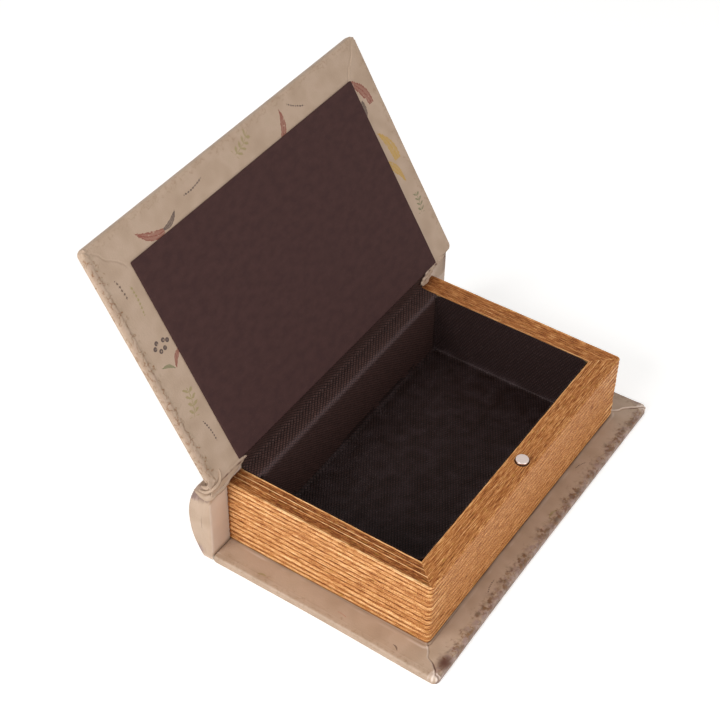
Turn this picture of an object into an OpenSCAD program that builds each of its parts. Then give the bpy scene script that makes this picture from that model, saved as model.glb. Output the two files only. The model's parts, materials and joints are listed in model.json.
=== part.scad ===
// A keepsake box made in the form of a hard-cover book.
// A tray of four board walls stands on the back cover behind a rounded spine.
// The front cover is the lid. It turns on the covering at the top of the spine,
// and when open its spine edge bears on the spine's top, so it stands by itself.
// X runs from the spine to the fore edge, Y from the tail to the head, Z is up.
// The origin is under the middle of the page block, on the surface the box stands on.

/* [Page block] */
// Width of the page block, from the spine's inner face to the crests of the fore edge
page_w = 112.4; // [80:0.1:160]
// Length of the page block, from the crests of the tail to the crests of the head
page_l = 180; // [120:0.5:260]
// Height of the page block above the back cover
page_h = 39.5; // [25:0.1:80]
// Thickness of the board in the tail wall
tail_wall_t = 10.5; // [5:0.1:16]
// Thickness of the board in the head wall
head_wall_t = 10.7; // [5:0.1:16]
// Thickness of the board in the fore edge wall, which holds the magnet
fore_wall_t = 11.8; // [10:0.1:18]
// Thickness of the board in the spine side wall
spine_wall_t = 10.4; // [6:0.1:16]
// Radius of the page block's two upright corners
page_corner_r = 2.6; // [2.2:0.1:5]

/* [Page edge facing] */
// Thickness of the ribbed facing in its grooves
facing_t = 0.5; // [0.3:0.05:0.8]
// Height of the ribs above the grooves
rib_h = 0.4; // [0.2:0.05:0.6]
// Spacing of the ribs, which the faces round to a whole number of ribs
rib_pitch = 3.05; // [2:0.05:5]
// Width of the flat groove between two ribs
groove_w = 0.3; // [0.2:0.05:0.5]
// Radius of the roll where the facing folds over the top edge
nose_r = 1.0; // [0.9:0.05:1.1]

/* [Covers] */
// Thickness of the boards in both covers
board_t = 3.2; // [2:0.1:5]
// Thickness of the covering material
skin_t = 0.6; // [0.4:0.05:0.9]
// Radius of the covering where it folds round a board's edge
fold_r = 1.0; // [0.8:0.05:1.4]
// Radius of the covers' outer corners
cover_corner_r = 3; // [2:0.1:8]
// Overhang of the covers past the tail of the page block
overhang_tail = 13.4; // [4:0.1:20]
// Overhang of the covers past the head of the page block
overhang_head = 15; // [4:0.1:20]
// Overhang of the back cover past the fore edge of the page block
overhang_fore = 12.6; // [4:0.1:20]
// Overhang of the lid past the fore edge of the page block, when closed
lid_overhang_fore = 14.6; // [4:0.1:22]
// How far the folded-in covering reaches under the page block
turn_lap = 3; // [2:0.5:8]

/* [Spine] */
// Thickness of the spine at its middle
spine_bulge = 13.5; // [9:0.1:20]
// Thickness of the spine at its top and bottom edges
spine_edge = 6; // [4:0.1:8]
// Radius of the spine's two long edges
spine_edge_r = 1.6; // [1:0.1:2.5]

/* [Lid] */
// Angle between the open lid and the closed lid
lid_angle = 121; // [95:1:135]
// Gap between the spine's inner face and the closed lid, which the covering spans
joint_gap = 1.35; // [1:0.05:3]
// How much nearer the head the lid sits than the back cover
lid_shift = 1.85; // [0:0.05:4]
// Distance of the hinge line behind the spine's inner face
hinge_set = 0.4; // [0:0.05:1]
// Thickness of the lid's liner
liner_t = 0.85; // [0.4:0.05:1.5]
// Margin of the liner at the tail
liner_margin_tail = 20.25; // [10:0.05:40]
// Margin of the liner at the head
liner_margin_head = 16.35; // [10:0.05:40]
// Margin of the liner at the fore edge
liner_margin_fore = 17.7; // [10:0.1:40]
// Margin of the liner at the joint
liner_margin_joint = 0.5; // [0.2:0.1:6]
// Width of the folded-in covering that the liner hides
liner_lap = 7; // [3:0.5:12]

/* [Cavity] */
// Thickness of the lining
lining_t = 0.6; // [0.4:0.05:1]
// Thickness of the card under the floor lining
floor_card_t = 0.8; // [0.5:0.1:3]
// Radius of the lining where it turns over the top of the spine side wall
ridge_r = 1.6; // [1.2:0.1:3]
// Radius of the lining where the walls meet the floor
cove_r = 1.5; // [0.8:0.1:4]

/* [Magnet] */
// Diameter of the magnet
magnet_d = 6.5; // [4:0.5:8]
// Thickness of the magnet
magnet_t = 3; // [2.5:0.1:6]
// Height of the magnet above the ribs around it
magnet_proud = 1; // [0.2:0.1:1.5]
// Distance from the fore edge to the middle of the magnet
magnet_set = 6.2; // [5.8:0.1:7]
// Diameter of the steel disc in the lid that the magnet pulls
keeper_d = 8; // [6:0.5:12]
// Thickness of the steel disc in the lid
keeper_t = 1.5; // [0.8:0.1:1.8]

/* [Clearances] */
// Gap between the magnet and the closed lid's liner
magnet_gap = 0.15; // [0.05:0.05:0.5]
// Gap between the open lid's edge and the top of the spine
stop_gap = 0.1; // [0.05:0.05:0.3]
// Height of the closed lid above the top of the spine
spine_step = 0.1; // [0:0.05:0.5]
// Gap round the soft hinge pieces
cloth_gap = 0.12; // [0.05:0.01:0.3]
// Thickness of the soft hinge pieces
cloth_t = 0.5; // [0.3:0.05:0.6]
// Width of the covering on the spine's top edge at the joint
joint_lap = 1; // [0.6:0.1:1.4]
// Width of the hinge lining's foot on top of the spine side wall
hinge_foot = 3; // [1.5:0.5:5]
// Height that the hinge lining rises above the spine to meet the open lid
hinge_rise = 1; // [0.6:0.1:1]
// Gap round the magnet and its steel disc
seat_gap = 0.05; // [0.02:0.01:0.2]

/* [Hidden] */
$fn = 48;

// Colours
TAUPE = "#B39A83";
PALE_TAUPE = "#C3AA98";
PLUM = "#432E2D";
LEATHER_BLACK = "#2B2020";
PAGE_GOLD = "#B97F4F";
GREY_BOARD = "#8E8778";
FIBREBOARD = "#A98A63";
NICKEL = "#B9B4AC";
STEEL = "#8C8F93";

// Overlap of a cutter with what it cuts
bite = 1;
// How near a turned section comes to its axis
axis_gap = 0.02;
// Facets of a full turn, for the large arc of the spine, the ribs, the covers' corners and folds
spine_facets = 180;
rib_facets = 96;
corner_facets = 32;
fold_facets = 20;

// Levels above the surface that the box stands on
cover_t = board_t + 2 * skin_t;
page_top = cover_t + page_h;
facing_total = facing_t + rib_h;
wall_top = page_top - facing_total;
card_top = cover_t + floor_card_t;
floor_top = card_top + lining_t;
lid_under = page_top + magnet_proud + magnet_gap + liner_t;
lid_top = lid_under + cover_t;
spine_h = lid_top - spine_step;

// Planes across the box: the spine line is the spine's inner face
spine_x = -page_w / 2;
fore_x = page_w / 2;
tail_y = -page_l / 2;
head_y = page_l / 2;
cover_tail_y = tail_y - overhang_tail;
cover_head_y = head_y + overhang_head;
back_fore_x = fore_x + overhang_fore;
lid_tail_y = cover_tail_y + lid_shift;
lid_head_y = cover_head_y + lid_shift;
lid_spine_x = spine_x + joint_gap;
lid_fore_x = fore_x + lid_overhang_fore;

// The boards' corners follow the covering's, one skin further in
board_corner_r = cover_corner_r - skin_t;

// The faces of the wall boards
core_tail_y = tail_y + facing_total;
core_head_y = head_y - facing_total;
core_fore_x = fore_x - facing_total;
inner_tail_y = core_tail_y + tail_wall_t;
inner_head_y = core_head_y - head_wall_t;
inner_fore_x = core_fore_x - fore_wall_t;
inner_spine_x = spine_x + spine_wall_t;
lining_top = page_top - rib_h;

// The roll at the top edge takes this many of its radii before the first rib begins
nose_run = 1.7;
nose_reach = nose_run * nose_r;

// The mitre at a corner runs from the cavity through the middle of the corner's round
corner_tail = [fore_x - page_corner_r, tail_y + page_corner_r];
corner_head = [fore_x - page_corner_r, head_y - page_corner_r];
cavity_tail = [inner_fore_x, inner_tail_y];
cavity_head = [inner_fore_x, inner_head_y];
// Where a mitre's cut starts and ends, with 0 at the cavity and 1 at the middle of the round
mitre_start = -0.1;
mitre_end = 2;

// The spine's outer arc passes through its middle and both of its edges
spine_sag = spine_bulge - spine_edge;
spine_arc_r = (pow(spine_h / 2, 2) + pow(spine_sag, 2)) / (2 * spine_sag);
spine_arc_x = spine_arc_r - spine_bulge;

// The hinge line lies where the open lid's folded edge comes down onto the spine's top
lid_reach = hinge_set + joint_gap;
hinge_drop = ((lid_reach + fold_r) * sin(lid_angle) - fold_r * cos(lid_angle) - fold_r
    + spine_step - stop_gap) / (1 - cos(lid_angle));
hinge_x = spine_x - hinge_set;
hinge_z = lid_top - hinge_drop;

// Margins of the window in the lid's covering, which the liner hides
window_tail = liner_margin_tail + liner_lap;
window_head = liner_margin_head + liner_lap;
window_fore = liner_margin_fore + liner_lap;
window_joint = liner_margin_joint + liner_lap;

magnet_x = fore_x - magnet_set;
magnet_top = page_top + magnet_proud;

// A box given by its low and high corners
module span(low, high) {
    translate(low) cube(high - low);
}

// A rectangle with one pair of its corners rounded, on the side of high X
module fore_rounded(low, high, r) {
    union() {
        translate(low) square([high.x - low.x - r, high.y - low.y]);
        translate([low.x, low.y + r]) square([high.x - low.x, high.y - low.y - 2 * r]);
        for (y = [low.y + r, high.y - r])
            translate([high.x - r, y]) circle(r);
    }
}

// A rectangle with all four corners rounded
module all_rounded(low, high, r) {
    union() {
        translate([low.x + r, low.y]) square([high.x - low.x - 2 * r, high.y - low.y]);
        translate([low.x, low.y + r]) square([high.x - low.x, high.y - low.y - 2 * r]);
        for (x = [low.x + r, high.x - r], y = [low.y + r, high.y - r])
            translate([x, y]) circle(r);
    }
}

// A board wrapped in covering: folded edges all round and rounded corners
module wrapped_plate(low, high, t, spine_r, fore_r) {
    hull()
        for (z = [fold_r, t - fold_r], y = [0, 1], x = [0, 1]) {
            r = x == 0 ? spine_r : fore_r;
            translate([
                x == 0 ? low.x + r : high.x - r,
                y == 0 ? low.y + r : high.y - r,
                z
            ])
                rotate_extrude($fn = corner_facets)
                    intersection() {
                        translate([r - fold_r, 0]) circle(fold_r, $fn = fold_facets);
                        translate([0, -fold_r]) square([r, 2 * fold_r]);
                    }
        }
}

// Turns what is drawn closed to the open lid's place
module opened() {
    translate([hinge_x, 0, hinge_z])
        rotate([0, -lid_angle, 0])
            translate([-hinge_x, 0, -hinge_z])
                children();
}

// The board in the back cover, from a plane at its spine side
module back_board_shape(from_x) {
    translate([0, 0, skin_t])
        linear_extrude(board_t)
            fore_rounded(
                [from_x, cover_tail_y + skin_t],
                [back_fore_x - skin_t, cover_head_y - skin_t],
                board_corner_r
            );
}

module back_board() {
    color(GREY_BOARD) back_board_shape(spine_x);
}

module back_covering() {
    color(TAUPE)
        difference() {
            wrapped_plate(
                [spine_x - 2 * fold_r, cover_tail_y], [back_fore_x, cover_head_y],
                cover_t, fold_r, cover_corner_r
            );
            // the covering goes on round the spine here
            span(
                [spine_x - 2 * fold_r - bite, cover_tail_y - bite, -bite],
                [spine_x, cover_head_y + bite, cover_t + bite]
            );
            // room for the board
            back_board_shape(spine_x - bite);
            // the folded-in edges end under the page block
            span(
                [spine_x - bite, tail_y + turn_lap, skin_t],
                [fore_x - turn_lap, head_y - turn_lap, cover_t + bite]
            );
        }
}

// The spine's section, with X across it from the inner face and Y up it
module spine_section(inset) {
    arc_r = spine_arc_r - inset;
    edge_r = spine_edge_r - inset;
    top = spine_h / 2 - inset;
    // the middle of the small arc that rounds a long edge, and where the two arcs meet
    edge_x = spine_arc_x - sqrt(pow(arc_r - edge_r, 2) - pow(top - edge_r, 2));
    meet_y = arc_r * (top - edge_r) / (arc_r - edge_r);
    translate([0, spine_h / 2]) {
        intersection() {
            translate([spine_arc_x, 0]) circle(arc_r, $fn = spine_facets);
            union() {
                translate([-spine_bulge, -meet_y])
                    square([spine_bulge - inset, 2 * meet_y]);
                translate([edge_x, -top])
                    square([-edge_x - inset, 2 * top]);
            }
        }
        for (side = [-1, 1])
            translate([edge_x, side * (top - edge_r)]) circle(edge_r);
    }
}

// Runs a section drawn across the box along it, from one plane to another
module run_y(from_y, to_y) {
    translate([0, to_y, 0])
        rotate([90, 0, 0])
            linear_extrude(to_y - from_y)
                children();
}

module spine_block() {
    color(FIBREBOARD)
        run_y(cover_tail_y + skin_t, cover_head_y - skin_t)
            translate([spine_x, 0])
                spine_section(skin_t);
}

module spine_covering() {
    color(PALE_TAUPE)
        difference() {
            run_y(cover_tail_y, cover_head_y)
                translate([spine_x, 0])
                    spine_section(0);
            run_y(cover_tail_y + skin_t, cover_head_y - skin_t)
                translate([spine_x, 0])
                    spine_section(skin_t);
            // the bare strip that is glued to the page block
            span(
                [spine_x - skin_t - bite, inner_tail_y, cover_t],
                [spine_x + bite, inner_head_y, wall_top]
            );
        }
}

// The outline of the wall boards seen from above
module core_outline() {
    fore_rounded(
        [spine_x, core_tail_y], [core_fore_x, core_head_y],
        page_corner_r - facing_total
    );
}

module end_wall(from_y, to_y) {
    color(FIBREBOARD)
        translate([0, 0, cover_t])
            linear_extrude(wall_top - cover_t)
                intersection() {
                    core_outline();
                    translate([spine_x, from_y]) square([page_w, to_y - from_y]);
                }
}

module tail_wall() {
    end_wall(core_tail_y, inner_tail_y);
}

module head_wall() {
    end_wall(inner_head_y, core_head_y);
}

module fore_edge_wall() {
    color(FIBREBOARD)
        difference() {
            span([inner_fore_x, inner_tail_y, cover_t], [core_fore_x, inner_head_y, wall_top]);
            magnet_seat();
        }
}

module spine_side_wall() {
    color(FIBREBOARD)
        run_y(inner_tail_y, inner_head_y)
            ridge_section(ridge_r, cover_t, wall_top, spine_x, inner_spine_x);
}

// An upright strip with its top edge rounded on the side of high X
module ridge_section(r, low_z, high_z, low_x, high_x) {
    translate([low_x, low_z]) square([high_x - low_x, high_z - low_z - r]);
    translate([low_x, low_z]) square([high_x - low_x - r, high_z - low_z]);
    translate([high_x - r, high_z - r]) circle(r);
}

module magnet_seat() {
    translate([magnet_x, 0, magnet_top - magnet_t])
        cylinder(d = magnet_d + 2 * seat_gap, h = magnet_t + bite);
}

// A row of ribs on a base strip: X runs across the ribs, Y stands out of the face
module rib_row(length) {
    count = max(1, round(length / rib_pitch));
    pitch = length / count;
    crest_w = pitch - groove_w;
    crest_r = (pow(crest_w / 2, 2) + pow(rib_h, 2)) / (2 * rib_h);
    // each rib is rooted in the strip, a little wider than it shows
    root_w = crest_w + groove_w / 2;
    square([length, facing_t]);
    for (i = [0 : count - 1])
        translate([(i + 0.5) * pitch, 0])
            intersection() {
                translate([0, facing_total - crest_r]) circle(crest_r, $fn = rib_facets);
                translate([-root_w / 2, facing_t / 2]) square([root_w, facing_total]);
            }
}

// The facing's section: a leg up the wall, a roll at the top edge and a flange over the top
// X is measured in from the crests and Y up from the back cover
module facing_section(top_w) {
    difference() {
        union() {
            translate([facing_total, 0])
                rotate(90)
                    rib_row(page_h - nose_reach);
            translate([nose_reach, page_h - facing_total])
                rib_row(top_w - nose_reach);
            translate([nose_r, page_h - nose_r]) circle(nose_r);
            translate([rib_h, page_h - nose_reach - rib_h])
                square([facing_t, nose_reach]);
            translate([nose_r, page_h - facing_total])
                square([nose_reach, facing_t]);
        }
        // the wall's own board
        translate([facing_total, -bite])
            square([top_w, page_h - facing_total + bite]);
    }
}

// One side of the facing, drawn along X with its crests on the X axis
// The leg and the roll are carried round a corner at the far end
module facing_run(length, top_w) {
    rotate([90, 0, 90])
        linear_extrude(length)
            facing_section(top_w);
    translate([length, page_corner_r, 0])
        rotate([0, 0, -90])
            facing_corner(top_w);
}

// A quarter turn of the facing about the middle of a corner, from X to Y
module facing_corner(top_w) {
    rotate_extrude(angle = 90)
        translate([page_corner_r, 0])
            mirror([1, 0])
                intersection() {
                    facing_section(top_w);
                    square([page_corner_r - axis_gap, page_h]);
                }
}

// A point on the mitre line, 0 at the cavity and 1 at the middle of the round
function on_mitre(from, to, share) = from + (to - from) * share;

// The area between a mitre and the spine, seen from above, for one end of the box
module end_sector(cavity, corner) {
    near = on_mitre(cavity, corner, mitre_start);
    far = on_mitre(cavity, corner, mitre_end);
    polygon([[spine_x - bite, near.y], near, far, [spine_x - bite, far.y]]);
}

// The area between the two mitres, seen from above
module fore_sector() {
    polygon([
        on_mitre(cavity_tail, corner_tail, mitre_start),
        on_mitre(cavity_tail, corner_tail, mitre_end),
        on_mitre(cavity_head, corner_head, mitre_end),
        on_mitre(cavity_head, corner_head, mitre_start)
    ]);
}

module tail_facing() {
    color(PAGE_GOLD)
        intersection() {
            translate([spine_x, tail_y, cover_t])
                facing_run(page_w - page_corner_r, facing_total + tail_wall_t);
            linear_extrude(page_top + bite) end_sector(cavity_tail, corner_tail);
        }
}

module head_facing() {
    color(PAGE_GOLD)
        intersection() {
            translate([spine_x, head_y, cover_t])
                mirror([0, 1, 0])
                    facing_run(page_w - page_corner_r, facing_total + head_wall_t);
            linear_extrude(page_top + bite) end_sector(cavity_head, corner_head);
        }
}

module fore_edge_facing() {
    top_w = facing_total + fore_wall_t;
    color(PAGE_GOLD)
        difference() {
            intersection() {
                translate([fore_x, corner_tail.y, cover_t])
                    rotate([0, 0, 90])
                        facing_run(page_l - 2 * page_corner_r, top_w);
                linear_extrude(page_top + bite) fore_sector();
            }
            magnet_seat();
        }
    color(PAGE_GOLD)
        intersection() {
            translate([corner_tail.x, corner_tail.y, cover_t])
                rotate([0, 0, -90])
                    facing_corner(top_w);
            linear_extrude(page_top + bite) fore_sector();
        }
}

module floor_card() {
    color(GREY_BOARD)
        span([inner_spine_x, inner_tail_y, cover_t], [inner_fore_x, inner_head_y, card_top]);
}

// A concave strip in the corner between a wall and the floor, drawn along X
module cove(length) {
    rotate([90, 0, 90])
        linear_extrude(length)
            difference() {
                square(cove_r);
                translate([cove_r, cove_r]) circle(cove_r);
            }
}

module floor_lining() {
    lining_w = inner_fore_x - inner_spine_x - 2 * lining_t;
    lining_l = inner_head_y - inner_tail_y - 2 * lining_t;
    color(LEATHER_BLACK) {
        span([inner_spine_x, inner_tail_y, card_top], [inner_fore_x, inner_head_y, floor_top]);
        translate([inner_spine_x + lining_t, inner_tail_y + lining_t, floor_top])
            cove(lining_w);
        translate([inner_fore_x - lining_t, inner_head_y - lining_t, floor_top])
            rotate(180) cove(lining_w);
        translate([inner_fore_x - lining_t, inner_tail_y + lining_t, floor_top])
            rotate(90) cove(lining_l);
        translate([inner_spine_x + lining_t, inner_head_y - lining_t, floor_top])
            rotate(-90) cove(lining_l);
    }
}

module tail_lining() {
    color(LEATHER_BLACK)
        span(
            [inner_spine_x + lining_t, inner_tail_y, floor_top],
            [inner_fore_x, inner_tail_y + lining_t, lining_top]
        );
}

module head_lining() {
    color(LEATHER_BLACK)
        span(
            [inner_spine_x + lining_t, inner_head_y - lining_t, floor_top],
            [inner_fore_x, inner_head_y, lining_top]
        );
}

module fore_edge_lining() {
    color(LEATHER_BLACK)
        span(
            [inner_fore_x - lining_t, inner_tail_y + lining_t, floor_top],
            [inner_fore_x, inner_head_y - lining_t, lining_top]
        );
}

module spine_side_lining() {
    color(LEATHER_BLACK)
        run_y(inner_tail_y, inner_head_y)
            difference() {
                ridge_section(
                    ridge_r + lining_t, floor_top, wall_top + lining_t,
                    spine_x, inner_spine_x + lining_t
                );
                ridge_section(
                    ridge_r, floor_top - bite, wall_top,
                    spine_x - bite, inner_spine_x
                );
                // the hinge lining takes over here
                translate([spine_x - bite, wall_top - bite])
                    square([hinge_foot + bite, 2 * bite + lining_t]);
            }
}

module magnet() {
    color(NICKEL)
        translate([magnet_x, 0, magnet_top - magnet_t])
            cylinder(d = magnet_d, h = magnet_t);
}

// The covering where it bridges from the spine's top to the lid, with an ear at each end
module joint_cloth() {
    top_z = spine_h + cloth_gap / 2;
    color(TAUPE) {
        run_y(cover_tail_y, cover_head_y)
            translate([spine_x - joint_lap, top_z])
                square([joint_lap, cloth_t / 2]);
        for (ends = [[cover_tail_y, inner_tail_y], [inner_head_y, cover_head_y]])
            run_y(ends[0], ends[1]) {
                translate([spine_x - joint_lap, top_z])
                    square([joint_lap + cloth_gap + cloth_t, cloth_t / 2]);
                translate([spine_x + cloth_gap, page_top + cloth_gap])
                    square([cloth_t, spine_h + hinge_rise - page_top - cloth_gap]);
            }
    }
}

module hinge_lining() {
    color(LEATHER_BLACK)
        run_y(inner_tail_y, inner_head_y)
            translate([spine_x + cloth_gap, wall_top]) {
                square([cloth_t, spine_h + hinge_rise - wall_top]);
                square([hinge_foot - cloth_gap, lining_t]);
            }
}

// The board in the lid, without the seat of the steel disc
module lid_board_shape() {
    translate([0, 0, lid_under + skin_t])
        linear_extrude(board_t)
            all_rounded(
                [lid_spine_x + skin_t, lid_tail_y + skin_t],
                [lid_fore_x - skin_t, lid_head_y - skin_t],
                board_corner_r
            );
}

module lid_board() {
    color(GREY_BOARD)
        opened()
            difference() {
                lid_board_shape();
                translate([magnet_x, 0, lid_under + skin_t - bite])
                    cylinder(d = keeper_d + 2 * seat_gap, h = keeper_t + seat_gap + bite);
            }
}

module lid_covering() {
    color(TAUPE)
        opened()
            difference() {
                translate([0, 0, lid_under])
                    wrapped_plate(
                        [lid_spine_x, lid_tail_y], [lid_fore_x, lid_head_y],
                        cover_t, cover_corner_r, cover_corner_r
                    );
                // room for the board
                lid_board_shape();
                // the folded-in edges end under the liner
                span(
                    [lid_spine_x + window_joint, lid_tail_y + window_tail, lid_under - bite],
                    [lid_fore_x - window_fore, lid_head_y - window_head,
                        lid_under + skin_t + bite]
                );
            }
}

module lid_liner() {
    color(PLUM)
        opened()
            span(
                [lid_spine_x + liner_margin_joint, lid_tail_y + liner_margin_tail,
                    lid_under - liner_t],
                [lid_fore_x - liner_margin_fore, lid_head_y - liner_margin_head, lid_under]
            );
}

module keeper_disc() {
    color(STEEL)
        opened()
            translate([magnet_x, 0, lid_under + skin_t])
                cylinder(d = keeper_d, h = keeper_t);
}

back_board();
back_covering();
spine_block();
spine_covering();
tail_wall();
head_wall();
fore_edge_wall();
spine_side_wall();
tail_facing();
head_facing();
fore_edge_facing();
floor_card();
floor_lining();
tail_lining();
head_lining();
fore_edge_lining();
spine_side_lining();
magnet();
joint_cloth();
hinge_lining();
lid_board();
lid_covering();
lid_liner();
keeper_disc();
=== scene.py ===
"""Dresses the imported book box: its covering, page edges, lining, cloth hinge and catch.

Sizes are in millimetres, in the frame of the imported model, and turn to metres as each
piece leaves the bench. What belongs to the lid is made closed and then opened.
"""

import json
import logging
import math
import random
from collections.abc import Callable
from dataclasses import dataclass, field
from enum import Enum

import bmesh
import bpy
from mathutils import Matrix, Vector, kdtree, noise


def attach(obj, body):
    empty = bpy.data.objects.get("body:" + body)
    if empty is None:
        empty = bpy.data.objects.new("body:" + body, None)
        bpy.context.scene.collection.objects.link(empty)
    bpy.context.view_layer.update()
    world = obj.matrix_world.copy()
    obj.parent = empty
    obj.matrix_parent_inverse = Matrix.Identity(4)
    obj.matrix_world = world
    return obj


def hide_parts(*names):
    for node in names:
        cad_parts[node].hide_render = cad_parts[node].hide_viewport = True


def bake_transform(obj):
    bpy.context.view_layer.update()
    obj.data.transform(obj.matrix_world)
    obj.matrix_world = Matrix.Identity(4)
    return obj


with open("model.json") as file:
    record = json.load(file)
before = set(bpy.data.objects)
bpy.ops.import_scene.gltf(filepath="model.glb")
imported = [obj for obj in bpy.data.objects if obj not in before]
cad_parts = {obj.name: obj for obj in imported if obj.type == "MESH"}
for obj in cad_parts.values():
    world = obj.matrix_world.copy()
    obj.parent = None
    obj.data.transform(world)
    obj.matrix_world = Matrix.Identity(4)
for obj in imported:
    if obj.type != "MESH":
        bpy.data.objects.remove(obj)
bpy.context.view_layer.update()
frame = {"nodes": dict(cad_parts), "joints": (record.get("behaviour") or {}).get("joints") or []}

log = logging.getLogger("book_box")

MM = 0.001
UP = Vector((0, 0, 1))
HINGE = frame["joints"][0]
HINGE_AT = Vector(HINGE["pos_m"]) / MM
LID_ANGLE = math.radians(HINGE["range_deg"][1])
OPENED = (
    Matrix.Translation(HINGE_AT)
    @ Matrix.Rotation(-LID_ANGLE, 4, "Y")
    @ Matrix.Translation(-HINGE_AT)
)
FACE_DOWN = Matrix.Scale(-1, 4, UP)
ALONG_Y = Matrix(((0, 1, 0, 0), (1, 0, 0, 0), (0, 0, 1, 0), (0, 0, 0, 1)))

PAGES_W = 112.4
PAGES_L = 180.0
PAGES_CORNER_R = 2.6
SPINE_X = -PAGES_W / 2
SPINE_TAIL_Y = -103.4
SPINE_HEAD_Y = 104.4
SPINE_H = 50.2
BOARD_T = 4.4
LID_CLOSED_Z = 50.3
LINER_CLOSED_Z = 45.9
HARD_EDGE = math.radians(40)
MOTIF_SPACING = 33

Unfolding = Callable[[bmesh.types.BMVert, bmesh.types.BMFace], tuple[float, float]]


class Body(Enum):
    """The two bodies that the pieces ride on."""

    BOX = "box"
    LID = "lid"


class Slot(Enum):
    """The record's material slots, named when each new piece is finished."""

    COVERING = "covering"
    LINER = "liner"
    LINING = "lining"
    FACING = "page_facing"
    NICKEL = "nickel"


class Motif(Enum):
    """The kinds of printed motif. Where there is none, the kind is 0."""

    SPRIG = 1
    BEADS = 2
    BERRIES = 3
    LEAF = 4


class Ink(Enum):
    """The printing inks, in the order in which the covering's finish has them."""

    OLIVE = 0
    RUST = 1
    STRAW = 2
    BROWN = 3
    OCHRE = 4
    ROSE = 5
    DARK = 6


@dataclass(frozen=True)
class Printed:
    """One motif on the flat covering: where its middle lies, its turn in degrees and its scale."""

    kind: Motif
    at: tuple[float, float]
    turn: float
    ink: Ink
    scale: float = 1.0


def strewn(low: tuple[float, float], high: tuple[float, float], seed: int) -> list[Printed]:
    """Strews motifs over a rectangle of the flat covering, evenly but not in rows.

    Args:
        low: The rectangle's low corner.
        high: Its high corner.
        seed: Picks one of many layouts.

    Returns:
        The motifs.
    """
    dice = random.Random(seed)
    nx, ny = (max(1, round((b - a) / MOTIF_SPACING)) for a, b in zip(low, high))
    return [
        Printed(
            dice.choice(list(Motif)),
            tuple(
                a + (b - a) * (i + 0.5 + dice.uniform(-0.16, 0.16)) / n
                for a, b, i, n in zip(low, high, cell, (nx, ny))
            ),
            dice.uniform(0, 360),
            dice.choice(list(Ink)),
            dice.uniform(0.8, 1.2),
        )
        for cell in ((i, j) for i in range(nx) for j in range(ny))
    ]


def ripple(point: Vector, size: float, seed: float = 0.0) -> float:
    """Smooth noise that repeats from run to run.

    Args:
        point: Where it is read, in millimetres.
        size: The distance over which it changes.
        seed: Moves to another part of the noise.

    Returns:
        A number from about -1 to 1.
    """
    return noise.noise(point / size + Vector((seed, 1.7 * seed, -seed)))


def between(stops: list[tuple[float, ...]], at: float) -> list[float]:
    """Reads smooth values from rows of stops whose first number is the position."""
    for low, high in zip(stops, stops[1:]):
        if at <= high[0]:
            share = clamp((at - low[0]) / (high[0] - low[0]))
            share *= share * (3 - 2 * share)
            return [a + (b - a) * share for a, b in zip(low[1:], high[1:])]
    return list(stops[-1][1:])


def curve(points: list[Vector], steps: int) -> list[Vector]:
    """Draws a smooth curve through points, with some steps between each pair."""
    ends = [2 * points[0] - points[1], *points, 2 * points[-1] - points[-2]]
    found = []
    for a, b, c, d in zip(ends, ends[1:], ends[2:], ends[3:]):
        straight, bent, twisted = c - a, 2 * a - 5 * b + 4 * c - d, 3 * b - 3 * c + d - a
        for t in (i / steps for i in range(steps)):
            found.append(0.5 * (2 * b + straight * t + bent * t**2 + twisted * t**3))
    return [*found, points[-1]]


def clamp(value: float, low: float = 0.0, high: float = 1.0) -> float:
    """Keeps a number within limits."""
    return min(high, max(low, value))


def bump(distance: float, width: float) -> float:
    """A round hump of height 1 at distance 0 that has gone two widths away."""
    return math.exp(-((distance / width) ** 2))


def stations(
    low: float, high: float, rims: tuple[float, float], fine: float, coarse: float
) -> list[float]:
    """Positions for grid lines, close together at both ends.

    Args:
        low: The first position.
        high: The last position.
        rims: How far the close lines reach from each end.
        fine: Their spacing.
        coarse: The spacing between the rims.

    Returns:
        The positions in order.
    """
    marks = [low, low + rims[0], high - rims[1], high]
    found = []
    for start, end, step in zip(marks, marks[1:], (fine, coarse, fine)):
        count = max(1, round((end - start) / step))
        found += [start + (end - start) * i / count for i in range(count)]
    return [*found, high]


# ---------------------------------------------------------------------------
# The bench: a mesh while it is being shaped
# ---------------------------------------------------------------------------


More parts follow.
